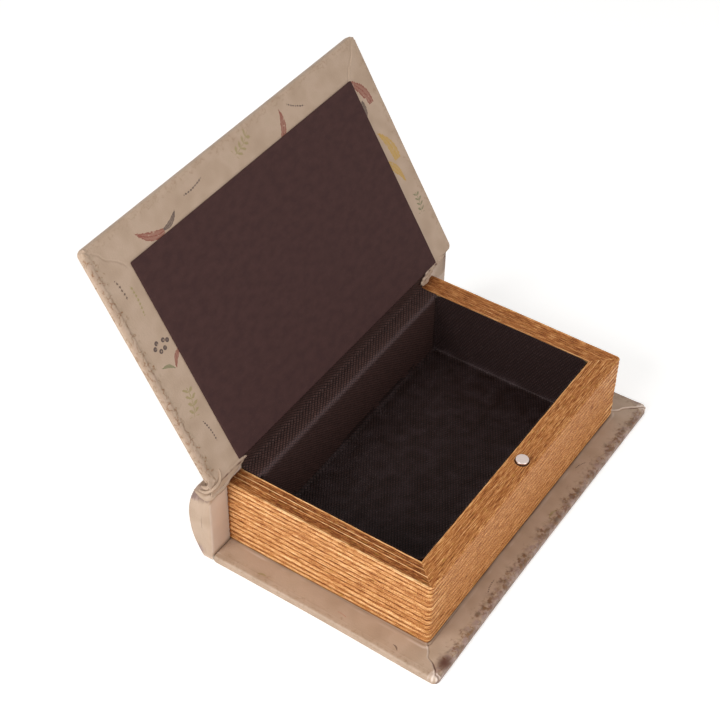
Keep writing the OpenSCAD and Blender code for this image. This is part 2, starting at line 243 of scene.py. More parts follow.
class Workpiece:
    """A mesh in millimetres with the layers that the finishes read.

    rim says how near a point is to a board's edge, or is 1 on a facing's flange. edge is
    the distance from the board's edge in millimetres, and frayed says how worn it is.
    wear is 1 where the print is worn off and where light is painted, and
    -1 where dirt sits and where shade and shadows are painted. crest is 1 on top of a rib,
    where it is partly a painted highlight, on the lining's painted highlights and on the
    magnet's dark skirt, its painted contact shadow. across is the distance along a section.
    The UV map named sheet holds millimetres on the flat material. Those named motif and
    print hold the place in the nearest printed motif, and its kind and ink.
    """

    def __init__(self) -> None:
        """Starts with an empty mesh."""
        self.bm = bmesh.new()
        for name in ("rim", "edge", "frayed", "wear", "crest", "across"):
            setattr(self, name, self.bm.verts.layers.float.new(name))
        for name in ("sheet", "motif", "print"):
            setattr(self, name, self.bm.loops.layers.uv.new(name))

    def grid(self, xs: list[float], ys: list[float], z: float) -> list:
        """Lays a flat grid with its lines at xs and ys, and returns its vertices."""
        nx, ny = len(xs) - 1, len(ys) - 1
        made = bmesh.ops.create_grid(self.bm, x_segments=nx, y_segments=ny, size=1.0)
        for v in made["verts"]:
            i, j = round((v.co.x + 1) / 2 * nx), round((v.co.y + 1) / 2 * ny)
            v.co = (xs[i], ys[j], z)
        return made["verts"]

    def pull(self, edges: list, move: Callable[[Vector], Vector]) -> list:
        """Extrudes open edges once.

        Args:
            edges: The open edges.
            move: Gives each new vertex's shift from its place.

        Returns:
            The new open edges.
        """
        made = bmesh.ops.extrude_edge_only(self.bm, edges=edges)["geom"]
        for v in made:
            if isinstance(v, bmesh.types.BMVert):
                v.co += move(v.co)
        return [e for e in made if isinstance(e, bmesh.types.BMEdge) and e.is_boundary]

    def spin(self, edges: list, steps: int, **how) -> list:
        """Carries a section along or round the upright, and returns it where it ends."""
        how = {"cent": (0, 0, 0), "axis": UP, **how}
        made = bmesh.ops.spin(self.bm, geom=edges, steps=steps, use_merge=False, **how)
        return [e for e in made["geom_last"] if isinstance(e, bmesh.types.BMEdge)]

    def sweep(self, edges: list, step: Vector, steps: int) -> list:
        """Carries a section along in equal steps, and returns it where it ends."""
        return self.spin(edges, steps, dvec=step, angle=0.0)

    def turn(self, edges: list, centre: Vector, angle: float, steps: int) -> list:
        """Carries a section round an upright axis, and returns it where it ends."""
        return self.spin(edges, steps, cent=centre, angle=angle)

    def run(self, edges: list, start: float, length: float, steps: int) -> list:
        """Carries a section along Y from a place on it, and returns it where it ends."""
        self.bm.transform(Matrix.Translation((start, 0, 0)))
        last = self.sweep(edges, Vector((length / steps, 0, 0)), steps)
        self.bm.transform(ALONG_Y)
        return last

    def pipe(self, points: list[Vector], radii: list[float]) -> None:
        """Builds a closed roll with twelve sides along a path.

        Args:
            points: The path's points.
            radii: The roll's radius at each point.
        """
        sides = 12
        ring = bmesh.ops.create_circle(self.bm, segments=sides, radius=1.0)["verts"]
        edges = list({e for v in ring for e in v.link_edges})
        placed = Matrix.Identity(4)
        aim = UP.rotation_difference(points[1] - points[0])
        for i, (point, radius) in enumerate(zip(points, radii)):
            if 0 < i < len(points) - 1:
                aim = (aim @ UP).rotation_difference(points[i + 1] - points[i - 1]) @ aim
            matrix = Matrix.Translation(point) @ aim.to_matrix().to_4x4() @ Matrix.Scale(radius, 4)
            moved = matrix @ placed.inverted()
            if i:
                edges = self.pull(edges, lambda at: moved @ at - at)
            else:
                bmesh.ops.transform(self.bm, matrix=moved, verts=ring)
                first = edges
            placed = matrix
        bmesh.ops.holes_fill(self.bm, edges=[*first, *edges], sides=sides)

    def cut(self, point: Vector, normal: Vector, drop: bool = True) -> None:
        """Cuts the mesh at a plane, and drops what lies on the normal's side if told to."""
        bmesh.ops.bisect_plane(
            self.bm,
            geom=[*self.bm.verts, *self.bm.edges, *self.bm.faces],
            dist=1e-5,
            plane_co=point,
            plane_no=normal,
            clear_outer=drop,
        )

    def settle(self) -> None:
        """Merges doubles and turns every face outwards."""
        bmesh.ops.remove_doubles(self.bm, verts=self.bm.verts, dist=1e-3)
        self.face_out()

    def face_out(self) -> None:
        """Turns every face outwards."""
        bmesh.ops.recalc_face_normals(self.bm, faces=self.bm.faces)
        self.bm.normal_update()

    def face_to(self, way: Vector, key: Callable[[bmesh.types.BMFace], float]) -> None:
        """Turns all faces over if the one with the greatest key looks away from a direction."""
        if max(self.bm.faces, key=key).normal.dot(way) < 0:
            bmesh.ops.reverse_faces(self.bm, faces=self.bm.faces[:])
            self.bm.normal_update()

    def thicken(self, thickness: float) -> None:
        """Gives an open sheet its thickness behind the side that shows."""
        bmesh.ops.solidify(self.bm, geom=self.bm.faces[:], thickness=thickness)

    def lay(self, place: Unfolding) -> None:
        """Fills the UV map.

        Args:
            place: Gives a vertex's place on the flat sheet, given the vertex and face.
        """
        for face in self.bm.faces:
            for loop in face.loops:
                loop[self.sheet].uv = place(loop.vert, face)

    def print_on(self, motifs: list[Printed]) -> None:
        """Gives every face the motif that lies nearest on the flat sheet."""
        tree = kdtree.KDTree(len(motifs))
        for i, printed in enumerate(motifs):
            tree.insert((*printed.at, 0), i)
        tree.balance()
        for face in self.bm.faces:
            middle = sum((loop[self.sheet].uv for loop in face.loops), Vector((0, 0)))
            printed = motifs[tree.find((*(middle / len(face.loops)), 0))[1]]
            spin = Matrix.Rotation(-math.radians(printed.turn), 2) * (1 / printed.scale)
            for loop in face.loops:
                loop[self.motif].uv = spin @ (loop[self.sheet].uv - Vector(printed.at))
                loop[self.print].uv = (printed.kind.value, printed.ink.value)

    def finish(
        self,
        name: str,
        look: bpy.types.Material,
        slot: Slot,
        matrix: Matrix | None = None,
    ) -> bpy.types.Object:
        """Makes the finished object, in metres.

        Args:
            name: The piece's name.
            look: Its material.
            slot: The record's slot that the finish belongs to. It is not used.
            matrix: Moves the piece to its place, in millimetres.

        Returns:
            The object, on no body yet.
        """
        if matrix is not None:
            self.bm.transform(matrix)
            if matrix.determinant() < 0:
                bmesh.ops.reverse_faces(self.bm, faces=self.bm.faces[:])
        self.bm.transform(Matrix.Scale(MM, 4))
        for f in self.bm.faces:
            f.smooth = True
        for e in self.bm.edges:
            if len(e.link_faces) == 2:
                e.smooth = e.calc_face_angle(0.0) < HARD_EDGE
        mesh = bpy.data.meshes.new(name)
        self.bm.to_mesh(mesh)
        self.bm.free()
        mesh.materials.append(look)
        made = bpy.data.objects.new(name, mesh)
        bpy.context.scene.collection.objects.link(made)
        log.info("%s: %d faces", name, len(mesh.polygons))
        return made


class Pen:
    """Draws a section across a piece as a chain of edges, in the YZ plane."""

    def __init__(self, work: Workpiece, y: float, z: float, crest: float = 0.0) -> None:
        """Puts the pen down at the section's first point."""
        self.work = work
        self.tip = work.bm.verts.new((0, y, z))
        self.tip[work.crest] = crest
        self.edges = []
        self.length = 0.0

    def to(self, y: float, z: float, crest: float = 0.0) -> "Pen":
        """Draws a straight line to a point, and returns the pen."""
        made = bmesh.ops.extrude_vert_indiv(self.work.bm, verts=[self.tip])
        tip = made["verts"][0]
        tip.co = (0, y, z)
        self.length += (tip.co - self.tip.co).length
        tip[self.work.across] = self.length
        tip[self.work.crest] = crest
        self.tip = tip
        self.edges += made["edges"]
        return self

    def arc(self, y: float, z: float, degrees: float, steps: int) -> "Pen":
        """Draws an arc round a centre, anticlockwise seen from +X, and returns the pen."""
        centre = Vector((0, y, z))
        turn = Matrix.Rotation(math.radians(degrees / steps), 3, "X")
        for _ in range(steps):
            at = centre + turn @ (self.tip.co - centre)
            self.to(at.y, at.z, self.tip[self.work.crest])
        return self


# ---------------------------------------------------------------------------
# Finishes
# ---------------------------------------------------------------------------


def linear(code: str) -> tuple[float, float, float, float]:
    """Turns a hex code such as #B39A83 from sRGB to a linear colour."""
    parts = [int(code[i : i + 2], 16) / 255 for i in (1, 3, 5)]
    flat = [c / 12.92 if c <= 0.04045 else ((c + 0.055) / 1.055) ** 2.4 for c in parts]
    return (*flat, 1.0)


@dataclass(frozen=True)
class Value:
    """What a node gives, by default its first output. Sums of values add nodes of their own."""

    node: bpy.types.Node
    output: int | str = 0

    def __getitem__(self, output: int | str) -> "Value":
        """Another output of the same node."""
        return Value(self.node, output)

    def __add__(self, other: "Value | float") -> "Value":
        """Both together."""
        return work_out("ADD", self, other)

    def __sub__(self, other: "Value | float") -> "Value":
        """What is left of this value."""
        return work_out("SUBTRACT", self, other)

    def __rsub__(self, other: float) -> "Value":
        """What this value leaves of a number."""
        return work_out("SUBTRACT", other, self)

    def __mul__(self, other: "Value | float") -> "Value":
        """This value times another."""
        return work_out("MULTIPLY", self, other)

    def __abs__(self) -> "Value":
        """This value without its sign."""
        return work_out("ABSOLUTE", self)

    def share(self, low: float, high: float) -> "Value":
        """Turns it to a share: 0 at low and beyond, 1 at high and beyond, smooth between."""
        reach = {"Value": self, "From Min": low, "From Max": high}
        tree = self.node.id_data
        return add(tree, "ShaderNodeMapRange", reach, interpolation_type="SMOOTHSTEP")


def add(tree: bpy.types.NodeTree, kind: str, inputs: dict | None = None, **settings) -> Value:
    """Adds a node to a tree.

    Args:
        tree: The tree.
        kind: The node's type.
        inputs: Numbers, colours or other nodes' values for its inputs, by name or number.
        **settings: The node's own properties.

    Returns:
        What the node gives.
    """
    made = tree.nodes.new(kind)
    for name, value in settings.items():
        setattr(made, name, value)
    for key, value in (inputs or {}).items():
        if isinstance(value, Value):
            tree.links.new(value.node.outputs[value.output], made.inputs[key])
        else:
            made.inputs[key].default_value = value
    return Value(made)


def work_out(operation: str, *values: Value | float) -> Value:
    """Works out one number from others, of which at least one comes from a node."""
    tree = next(v.node.id_data for v in values if isinstance(v, Value))
    return add(tree, "ShaderNodeMath", dict(enumerate(values)), operation=operation)


@dataclass(frozen=True)
class Finish:
    """What every finish has: a name, a roughness and the depth of its relief in millimetres."""

    name: str
    roughness: float
    relief: float


class Recipe:
    """A finish's material while its node tree is put together."""

    FACTOR, UNDER, OVER, MIXED = 0, 6, 7, 2

    def __init__(self, finish: Finish) -> None:
        """Makes the material, empty."""
        self.finish = finish
        self.look = bpy.data.materials.new(finish.name)
        self.look.use_nodes = True
        self.look.node_tree.nodes.clear()

    def add(self, kind: str, inputs: dict | None = None, **settings) -> Value:
        """Adds a node to the material."""
        return add(self.look.node_tree, kind, inputs, **settings)

    def mark(self, name: str) -> Value:
        """Reads one of a workpiece's layers."""
        return self.add("ShaderNodeAttribute", attribute_name=name)["Fac"]

    def on_sheet(self, across: float = 1.0, up: float = 1.0) -> Value:
        """Gives the place on the flat sheet, in millimetres, divided by two sizes."""
        sheet = self.add("ShaderNodeUVMap", uv_map="sheet")
        return self.add("ShaderNodeMapping", {"Vector": sheet, "Scale": (1 / across, 1 / up, 1.0)})

    def in_piece(self, *sizes: float) -> Value:
        """Gives the place in the piece, in millimetres, divided by three sizes."""
        place = self.add("ShaderNodeTexCoord")["Object"]
        scale = tuple(1 / (MM * size) for size in sizes)
        return self.add("ShaderNodeMapping", {"Vector": place, "Scale": scale})

    def noise(self, at: Value, detail: float, seed: float | None = None, **more: float) -> Value:
        """Gives cloudy noise.

        Args:
            at: Where it is read. Its clouds are of size 1.
            detail: How much finer noise it has in it.
            seed: Picks other clouds.
            **more: Values for the node's other inputs.

        Returns:
            A number near 0.5.
        """
        inputs = {"Vector": at, "Detail": detail, **more}
        if seed is None:
            return self.add("ShaderNodeTexNoise", inputs)
        return self.add("ShaderNodeTexNoise", {**inputs, "W": seed}, noise_dimensions="4D")

    def clouds(self, size: float, detail: float, seed: float = 0.0) -> Value:
        """Gives cloudy noise on the flat sheet, of a size in millimetres."""
        return self.noise(self.on_sheet(size, size), detail, seed)

    def specks(
        self, size: float, radius: float, soft: float, least: float, more: Value | float = 0.0
    ) -> Value:
        """Gives round specks on the flat sheet.

        Args:
            size: The size of the cells, of which some have a speck.
            radius: A speck's radius, as a share of the size.
            soft: How wide its soft edge is, as a share of the size.
            least: The lower this is under 1, the more cells have one.
            more: Brings more specks where it is high.

        Returns:
            1 on a speck and 0 off it.
        """
        at = {"Vector": self.on_sheet(size, size)}
        cells = self.add("ShaderNodeTexVoronoi", at, voronoi_dimensions="2D")
        chance = self.add("ShaderNodeSeparateColor", {0: cells["Color"]}) + more
        near = (radius - cells["Distance"]).share(0.0, soft)
        return near * work_out("GREATER_THAN", chance, least)

    def ramp(
        self, at: Value, positions: list[float], codes: tuple[str, ...], kind: str = "LINEAR"
    ) -> Value:
        """Gives the colour at a place in a row of hex codes."""
        made = self.add("ShaderNodeValToRGB", {0: at})
        ramp = made.node.color_ramp
        ramp.interpolation = kind
        for i, (position, code) in enumerate(zip(positions, codes)):
            mark = ramp.elements[i] if i < 2 else ramp.elements.new(position)
            mark.position, mark.color = position, linear(code)
        return made

    def layer(self, under: Value | str, over: Value | str, factor: Value) -> Value:
        """Lays one colour over another. Each is a hex code or comes from a node."""
        under, over = (linear(c) if isinstance(c, str) else c for c in (under, over))
        inputs = {self.FACTOR: factor, self.UNDER: under, self.OVER: over}
        return self.add("ShaderNodeMix", inputs, data_type="RGBA")[self.MIXED]

    def close(
        self, colour: Value, height: Value, rough: Value | None = None, **fixed: float
    ) -> bpy.types.Material:
        """Ends the tree with the shader.

        Args:
            colour: The colour.
            height: The relief, from 0 to 1.
            rough: The roughness, where it varies.
            **fixed: Values for the shader's other sockets, with _ for a space.

        Returns:
            The material.
        """
        relief = {"Height": height, "Strength": 1.0, "Distance": self.finish.relief * MM}
        inputs = {
            "Base Color": colour,
            "Roughness": self.finish.roughness if rough is None else rough,
            "Normal": self.add("ShaderNodeBump", relief),
            **{name.replace("_", " "): value for name, value in fixed.items()},
        }
        shader = self.add("ShaderNodeBsdfPrincipled", inputs)
        self.add("ShaderNodeOutputMaterial", {"Surface": shader})
        return self.look


@dataclass(frozen=True)
class PrintedLeathercloth(Finish):
    """Polyurethane leathercloth printed with a faded botanical pattern.

    The eye sees a matt-satin skin of warm taupe with pink and olive clouds, small
    sprigs, beaded stems, leaves and berries, and brown rubbing marks along the edges.
    Its colour also carries painted shade and shadow, and some painted light.
    """

    name: str = "printed_leathercloth"
    roughness: float = 0.5
    relief: float = 0.08
    ground: tuple[str, ...] = ("#A48B75", "#AB927C", "#B19883", "#AE9680")
    inks: tuple[str, ...] = (
        "#6B6A44", "#7A3524", "#8F8052", "#5B4436", "#B08A3A", "#A4604C", "#3D2823",
    )
    dusty: str = "#8F7A66"
    rubbed: str = "#DCC9BB"
    dirt: str = "#66503F"
    scuff: str = "#6A4429"
    olive: str = "#857456"
    mauve: str = "#8B716D"
    frayed: str = "#7A4A1C"
    crevice: str = "#48200F"

    def material(self) -> bpy.types.Material:
        """Makes the material."""
        on = Recipe(self)
        colour = on.ramp(on.clouds(60, 1.5), [0.3, 0.45, 0.57, 0.7], self.ground)
        fleck = on.clouds(2.2, 4.0)
        colour = on.layer(colour, self.dusty, fleck.share(0.5, 0.9) * 0.28)
        colour = self.marks(on, self.pattern(on, colour))
        grained = {"Vector": on.on_sheet(0.9, 0.9)}
        grain = on.add("ShaderNodeTexVoronoi", grained, feature="SMOOTH_F1")["Distance"]
        height = grain * 0.35 + on.clouds(6, 2.0)
        return on.close(colour, height, fleck * 0.25 + (self.roughness - 0.1))

    def marks(self, on: Recipe, colour: Value) -> Value:
        """Lays the rubbing marks near the boards' edges, then the wear layer: pale for rubbing and
        painted light, dark for painted shade, painted shadow and a bruise.
        """
        rim, wear, frayed = (on.mark(name) for name in ("rim", "wear", "frayed"))
        clustered = on.clouds(36, 2.0, 12.0).share(0.4, 0.58) * frayed * rim.share(0.3, 0.75)
        for size, detail, seed, pull, low, high, tint, most in (
            (9, 4.0, 0.0, 0.3, 0.78, 0.9, self.olive, 0.6),
            (17, 4.0, 3.0, 0.75, 0.98, 1.3, self.mauve, 0.75),
            (20, 2.5, 7.0, 0.3, 0.66, 0.88, self.dirt, clustered),
            (11, 2.5, 9.0, 0.26, 0.66, 0.82, self.scuff, clustered),
        ):
            cloud = rim * pull + on.clouds(size, detail, seed)
            colour = on.layer(colour, tint, cloud.share(low, high) * most)
        colour = self.fraying(on, colour, frayed)
        # Pale where the print is worn by rubbing and where light is painted; dark where shade and
        # shadows are painted, and on the bruise.
        colour = on.layer(colour, self.rubbed, wear.share(0.1, 1.0))
        return on.layer(colour, self.crevice, (wear * -1.0).share(0.1, 1.0))

    def fraying(self, on: Recipe, colour: Value, frayed: Value) -> Value:
        """Draws the ragged brown line near a worn edge, which is partly painted shadow of the
        raised band outside it, and an olive halo of painted shade beside it.
        """
        edge = on.mark("edge")
        for size, seed, reach in ((16, 21.0, 16.0), (5, 22.0, 4.0)):
            edge = (on.clouds(size, 1.0, seed) - 0.5) * reach + edge
        off = abs(edge - 1.8)
        kept = on.clouds(14, 1.5, 23.0).share(0.4, 0.56)
        # The olive halo is painted shade; the brown line is partly painted shadow.
        for low, high, tint, most in ((3.2, 0.0, self.olive, 0.35), (0.65, 0.1, self.frayed, 0.75)):
            colour = on.layer(colour, tint, off.share(low, high) * kept * frayed * most)
        return colour

    def pattern(self, on: Recipe, colour: Value) -> Value:
        """Prints the motif of each face, bled a little and washed out in places."""
        motif, choice = (on.add("ShaderNodeUVMap", uv_map=name) for name in ("motif", "print"))
        bleed = {0: on.noise(on.on_sheet(3.5, 3.5), 1.0)["Color"], 1: (1.1, 1.1, 0.0), 2: motif}
        bled = on.add("ShaderNodeVectorMath", bleed, operation="MULTIPLY_ADD")
        place, choice = (on.add("ShaderNodeSeparateXYZ", {0: at}) for at in (bled, choice))
        u, v = place[0], place[1]
        masks = {
            Motif.SPRIG: self.sprig(u, v),
            Motif.BEADS: self.beads(u, v),
            Motif.BERRIES: self.berries(on, motif),
            Motif.LEAF: self.long_leaf(u, v),
        }
        total = 0.0
        for kind, mask in masks.items():
            total = work_out("COMPARE", choice[0], kind.value, 0.3) * mask + total
        count = len(self.inks)
        stops = [i / count for i in range(count)]
        ink = on.ramp(choice[1] * (1 / count) + 0.5 / count, stops, self.inks, "CONSTANT")
        return on.layer(colour, ink, total * on.clouds(9, 1.5).share(0.22, 0.44) * 0.97)

    def lens(self, along: Value, beside: Value, half: float, wide: float) -> Value:
        """A pointed leaf: 1 on its edges and midrib, weaker between, and 0 outside.

        Args:
            along: Distance along the leaf from its middle.
            beside: Distance off its midrib.
            half: Half of its length.
            wide: Half of its width.

        Returns:
            The mask.
        """
        radius = (half**2 + wide**2) / (2 * wide)
        aside = abs(beside)
        far = aside + (radius - wide)
        deep = radius - work_out("SQRT", far * far + along * along)
        line = work_out("MAXIMUM", deep.share(wide * 0.45, wide * 0.1), aside.share(0.28, 0.08))
        return deep.share(0.0, 0.18) * (line * 0.3 + 0.7)

    def sprig(self, u: Value, v: Value) -> Value:
        """A bent stem 19 mm long with pairs of pointed leaves."""
        aside = abs(v - u * u * 0.02)
        step, lean = 4.4, math.radians(50)
        tile = work_out("WRAP", u, step, 0.0) - step * 0.3
        along = tile * math.cos(lean) + aside * math.sin(lean)
        beside = tile * -math.sin(lean) + aside * math.cos(lean)
        leaf = self.lens(along - 3.0, beside, 2.6, 1.0)
        stem = (0.32 - aside).share(0.0, 0.2)
        return work_out("MAXIMUM", leaf, stem) * work_out("COMPARE", u, 0.0, 9.3)

    def long_leaf(self, u: Value, v: Value) -> Value:
        """One narrow leaf 17 mm long, bent like a quill."""
        return self.lens(u, v - u * u * 0.035, 8.5, 1.7)

    def beads(self, u: Value, v: Value) -> Value:
        """A faintly bent row of small beads, 17 mm long."""
        bead = abs(v - u * u * 0.012) + work_out("PINGPONG", u, 1.1) * 0.8
        return bead.share(1.0, 0.45) * work_out("COMPARE", u, 0.0, 8.5)

    def berries(self, on: Recipe, motif: Value) -> Value:
        """A loose cluster of round berries of 2.4 mm, lighter in the middle."""
        pitch = 3.2
        cells = {"Vector": motif, "Scale": 1 / pitch, "Randomness": 0.8}
        cells = on.add("ShaderNodeTexVoronoi", cells, voronoi_dimensions="2D")
        centre = on.add("ShaderNodeVectorMath", {0: cells["Position"]}, operation="LENGTH")
        away = cells["Distance"] * pitch
        shine = away.share(0.2, 0.7) * 0.2 + 0.8
        return away.share(1.3, 0.95) * shine * work_out("LESS_THAN", centre["Value"], 4.6)


@dataclass(frozen=True)
class LinerPaper(Finish):
    """Heavy laid paper dyed plum brown, pasted down on the lid.

    The eye sees a matt dark panel with faint clouds, short fibres and a few pale specks.
    """

    name: str = "plum_liner_paper"
    roughness: float = 0.78
    relief: float = 0.06
    ground: tuple[str, ...] = ("#3F2A29", "#432D2B", "#462F2D")
    fibre: str = "#332322"
    speck: str = "#8A7672"

    def material(self) -> bpy.types.Material:
        """Makes the material."""
        on = Recipe(self)
        cloud = on.noise(on.on_sheet(18, 30), 4.0)
        fibre = on.noise(on.on_sheet(3.0, 0.7), 5.0)
        colour = on.ramp(cloud, [0.35, 0.5, 0.65], self.ground)
        colour = on.layer(colour, self.fibre, fibre.share(0.5, 0.95))
        colour = on.layer(colour, self.speck, on.specks(4.2, 0.07, 0.03, 0.8) * 0.6)
        return on.close(colour, fibre, Specular_IOR_Level=0.12)


@dataclass(frozen=True)
class EmbossedLining(Finish):
    """Thin brown-black leathercloth with a pressed diamond grain.

    The eye sees small scales that catch the light one by one, and dark furrows.
    """

    name: str = "embossed_lining"
    roughness: float = 0.42
    relief: float = 0.22
    furrow: str = "#100908"
    scale_top: str = "#35231F"
    speck: str = "#857778"
    rubbed: str = "#5A4B4D"
    pitch: float = 1.6
    slope: float = 0.62

    def material(self) -> bpy.types.Material:
        """Makes the material."""
        on = Recipe(self)
        at = on.add("ShaderNodeSeparateXYZ", {0: on.on_sheet()})
        lines = [at[1] * slope + at[0] for slope in (self.slope, -self.slope)]
        waves = [work_out("PINGPONG", line, self.pitch / 2) for line in lines]
        height = work_out("MINIMUM", *waves).share(0.0, self.pitch * 0.3)
        shade = height * (on.noise(on.on_sheet(14, 14), 3.0) * 1.2 + 0.25)
        colour = on.layer(self.furrow, self.scale_top, shade)
        # The crest layer marks painted highlights on the ridge, along the coves and on the head
        # wall: more pale specks as painted glints, and a lighter tone.
        crest = on.mark("crest")
        speck = on.specks(3.2, 0.17, 0.05, 0.97, crest * 0.4)
        colour = on.layer(colour, self.speck, speck * 0.7)
        colour = on.layer(colour, self.rubbed, crest * 0.35)
        return on.close(colour, height, Specular_IOR_Level=0.1)


@dataclass(frozen=True)
class RibbedPageFacing(Finish):
    """Card pressed into ribs, stained and varnished to pass for the edges of pages.

    The eye sees pale crests and brown grooves, partly painted highlight and painted
    shade, broken by a grain along the ribs, short dark flecks and rusty stains, a
    painted shadow line where it meets the cover, and a darker end near the spine.
    """

    name: str = "ribbed_page_facing"
    roughness: float = 0.48
    relief: float = 0.16
    tones: tuple[str, ...] = ("#5A2B0E", "#905227", "#B77944", "#DBA067", "#F6C993")
    foot: str = "#42190A"
    rust: str = "#9C5230"
    ochre: str = "#A98636"
    fleck: str = "#54300F"

    def material(self) -> bpy.types.Material:
        """Makes the material."""
        on = Recipe(self)
        crest, flange, wear = (on.mark(name) for name in ("crest", "rim", "wear"))
        streak = self.streak(on, 26, 1.9, 4.0)
        long, dash = self.streak(on, 120, 1.4, 1.5, 6.0), self.streak(on, 3.4, 1.5, 3.0, 2.0)
        dash = (long - dash) * flange * 0.75 + dash
        patch = self.streak(on, 16, 5, 2.0, 5.0).share(0.36, 0.56)
        # The crest layer paints rib tops lighter and grooves darker: partly the facing's stain,
        # partly painted highlight and painted shade.
        tone = streak * 1.6 + (crest - 0.5) * (patch * 0.34 + 0.36)
        tone = dash * 1.35 + tone - 1.02
        colour = on.ramp(tone, [0.1, 0.3, 0.47, 0.65, 0.88], self.tones)
        up = on.add("ShaderNodeSeparateXYZ", {0: on.on_sheet()})[1]
        foot = up.share(4.0, 0.8) * 0.09
        for size, seed, tint in ((5, 0.0, self.rust), (4, 3.0, self.ochre)):
            stain = self.streak(on, 22, size, 4.0, seed) + foot
            colour = on.layer(colour, tint, stain.share(0.54, 0.74) * 0.6)
        spots = self.streak(on, 2.0, 0.9, 5.0, 9.0).share(0.61, 0.7)
        colour = on.layer(colour, self.fleck, spots * (flange * -0.35 + 0.55))
        # Painted shadow at the foot of the facing, and a darker end near the spine, from the wear
        # layer.
        colour = on.layer(colour, self.foot, wear * -1.0)
        return on.close(colour, streak * 0.7 + dash * 0.6, Specular_IOR_Level=0.12)

    def streak(
        self, on: Recipe, along: float, up: float, detail: float, seed: float = 0.0
    ) -> Value:
        """Gives noise drawn out along the ribs."""
        return on.noise(on.on_sheet(along, up), detail, seed, Roughness=0.6)


@dataclass(frozen=True)
class PressedBoard(Finish):
    """Unfinished board, dull and fibrous, hidden under the covering and the facing."""

    name: str = "grey_board"
    roughness: float = 0.9
    relief: float = 0.08
    light: str = "#9A9384"
    dark: str = "#7C7567"
    fibre: tuple[float, float, float] = (2.5, 2.5, 0.4)

    def material(self) -> bpy.types.Material:
        """Makes the material."""
        on = Recipe(self)
        fibre = on.noise(on.in_piece(*self.fibre), 6.0)
        return on.close(on.layer(self.dark, self.light, fibre.share(0.3, 0.7)), fibre)


@dataclass(frozen=True)
class PlatedMetal(Finish):
    """Metal with a thin bright plating, tumbled smooth.

    The eye sees a mirror softened by fine scuffs, and a dark skirt where it is seated that is a
    painted contact shadow.
    """

    name: str = "nickel_plate"
    roughness: float = 0.2
    relief: float = 0.01
    tint: str = "#CDBDB6"
    dull: str = "#A79F98"
    glue: str = "#3A2A22"

    def material(self) -> bpy.types.Material:
        """Makes the material."""
        on = Recipe(self)
        scuff = on.noise(on.in_piece(2.5, 2.5, 2.5), 3.0)
        colour = on.layer(self.tint, self.dull, scuff.share(0.5, 1.0))
        # The dark skirt and the lower side, where the crest layer is set, are painted contact
        # shadow.
        colour = on.layer(colour, self.glue, on.mark("crest"))
        return on.close(colour, scuff, scuff * 0.2 + (self.roughness - 0.08), Metallic=1.0)


class Finishes:
    """Every finish of the box, made once."""

    def __init__(self) -> None:
        """Makes the materials."""
        self.covering = PrintedLeathercloth().material()
        self.liner = LinerPaper().material()
        self.lining = EmbossedLining().material()
        # A lighter copy of the lining for the hinge strip: painted light.
        self.hinge_lining = EmbossedLining(
            name="embossed_lining_at_the_hinge", furrow="#1A100E", scale_top="#553C37"
        ).material()
        self.facing = RibbedPageFacing().material()
        self.grey_board = PressedBoard().material()
        self.fibreboard = PressedBoard(
            name="fibreboard", light="#B4956B", dark="#93744B", fibre=(1.2, 1.2, 1.2)
        ).material()
        self.nickel = PlatedMetal().material()
        self.steel = PlatedMetal(name="mild_steel", roughness=0.4, tint="#9A9C9E").material()


# ---------------------------------------------------------------------------
# Covers
# ---------------------------------------------------------------------------


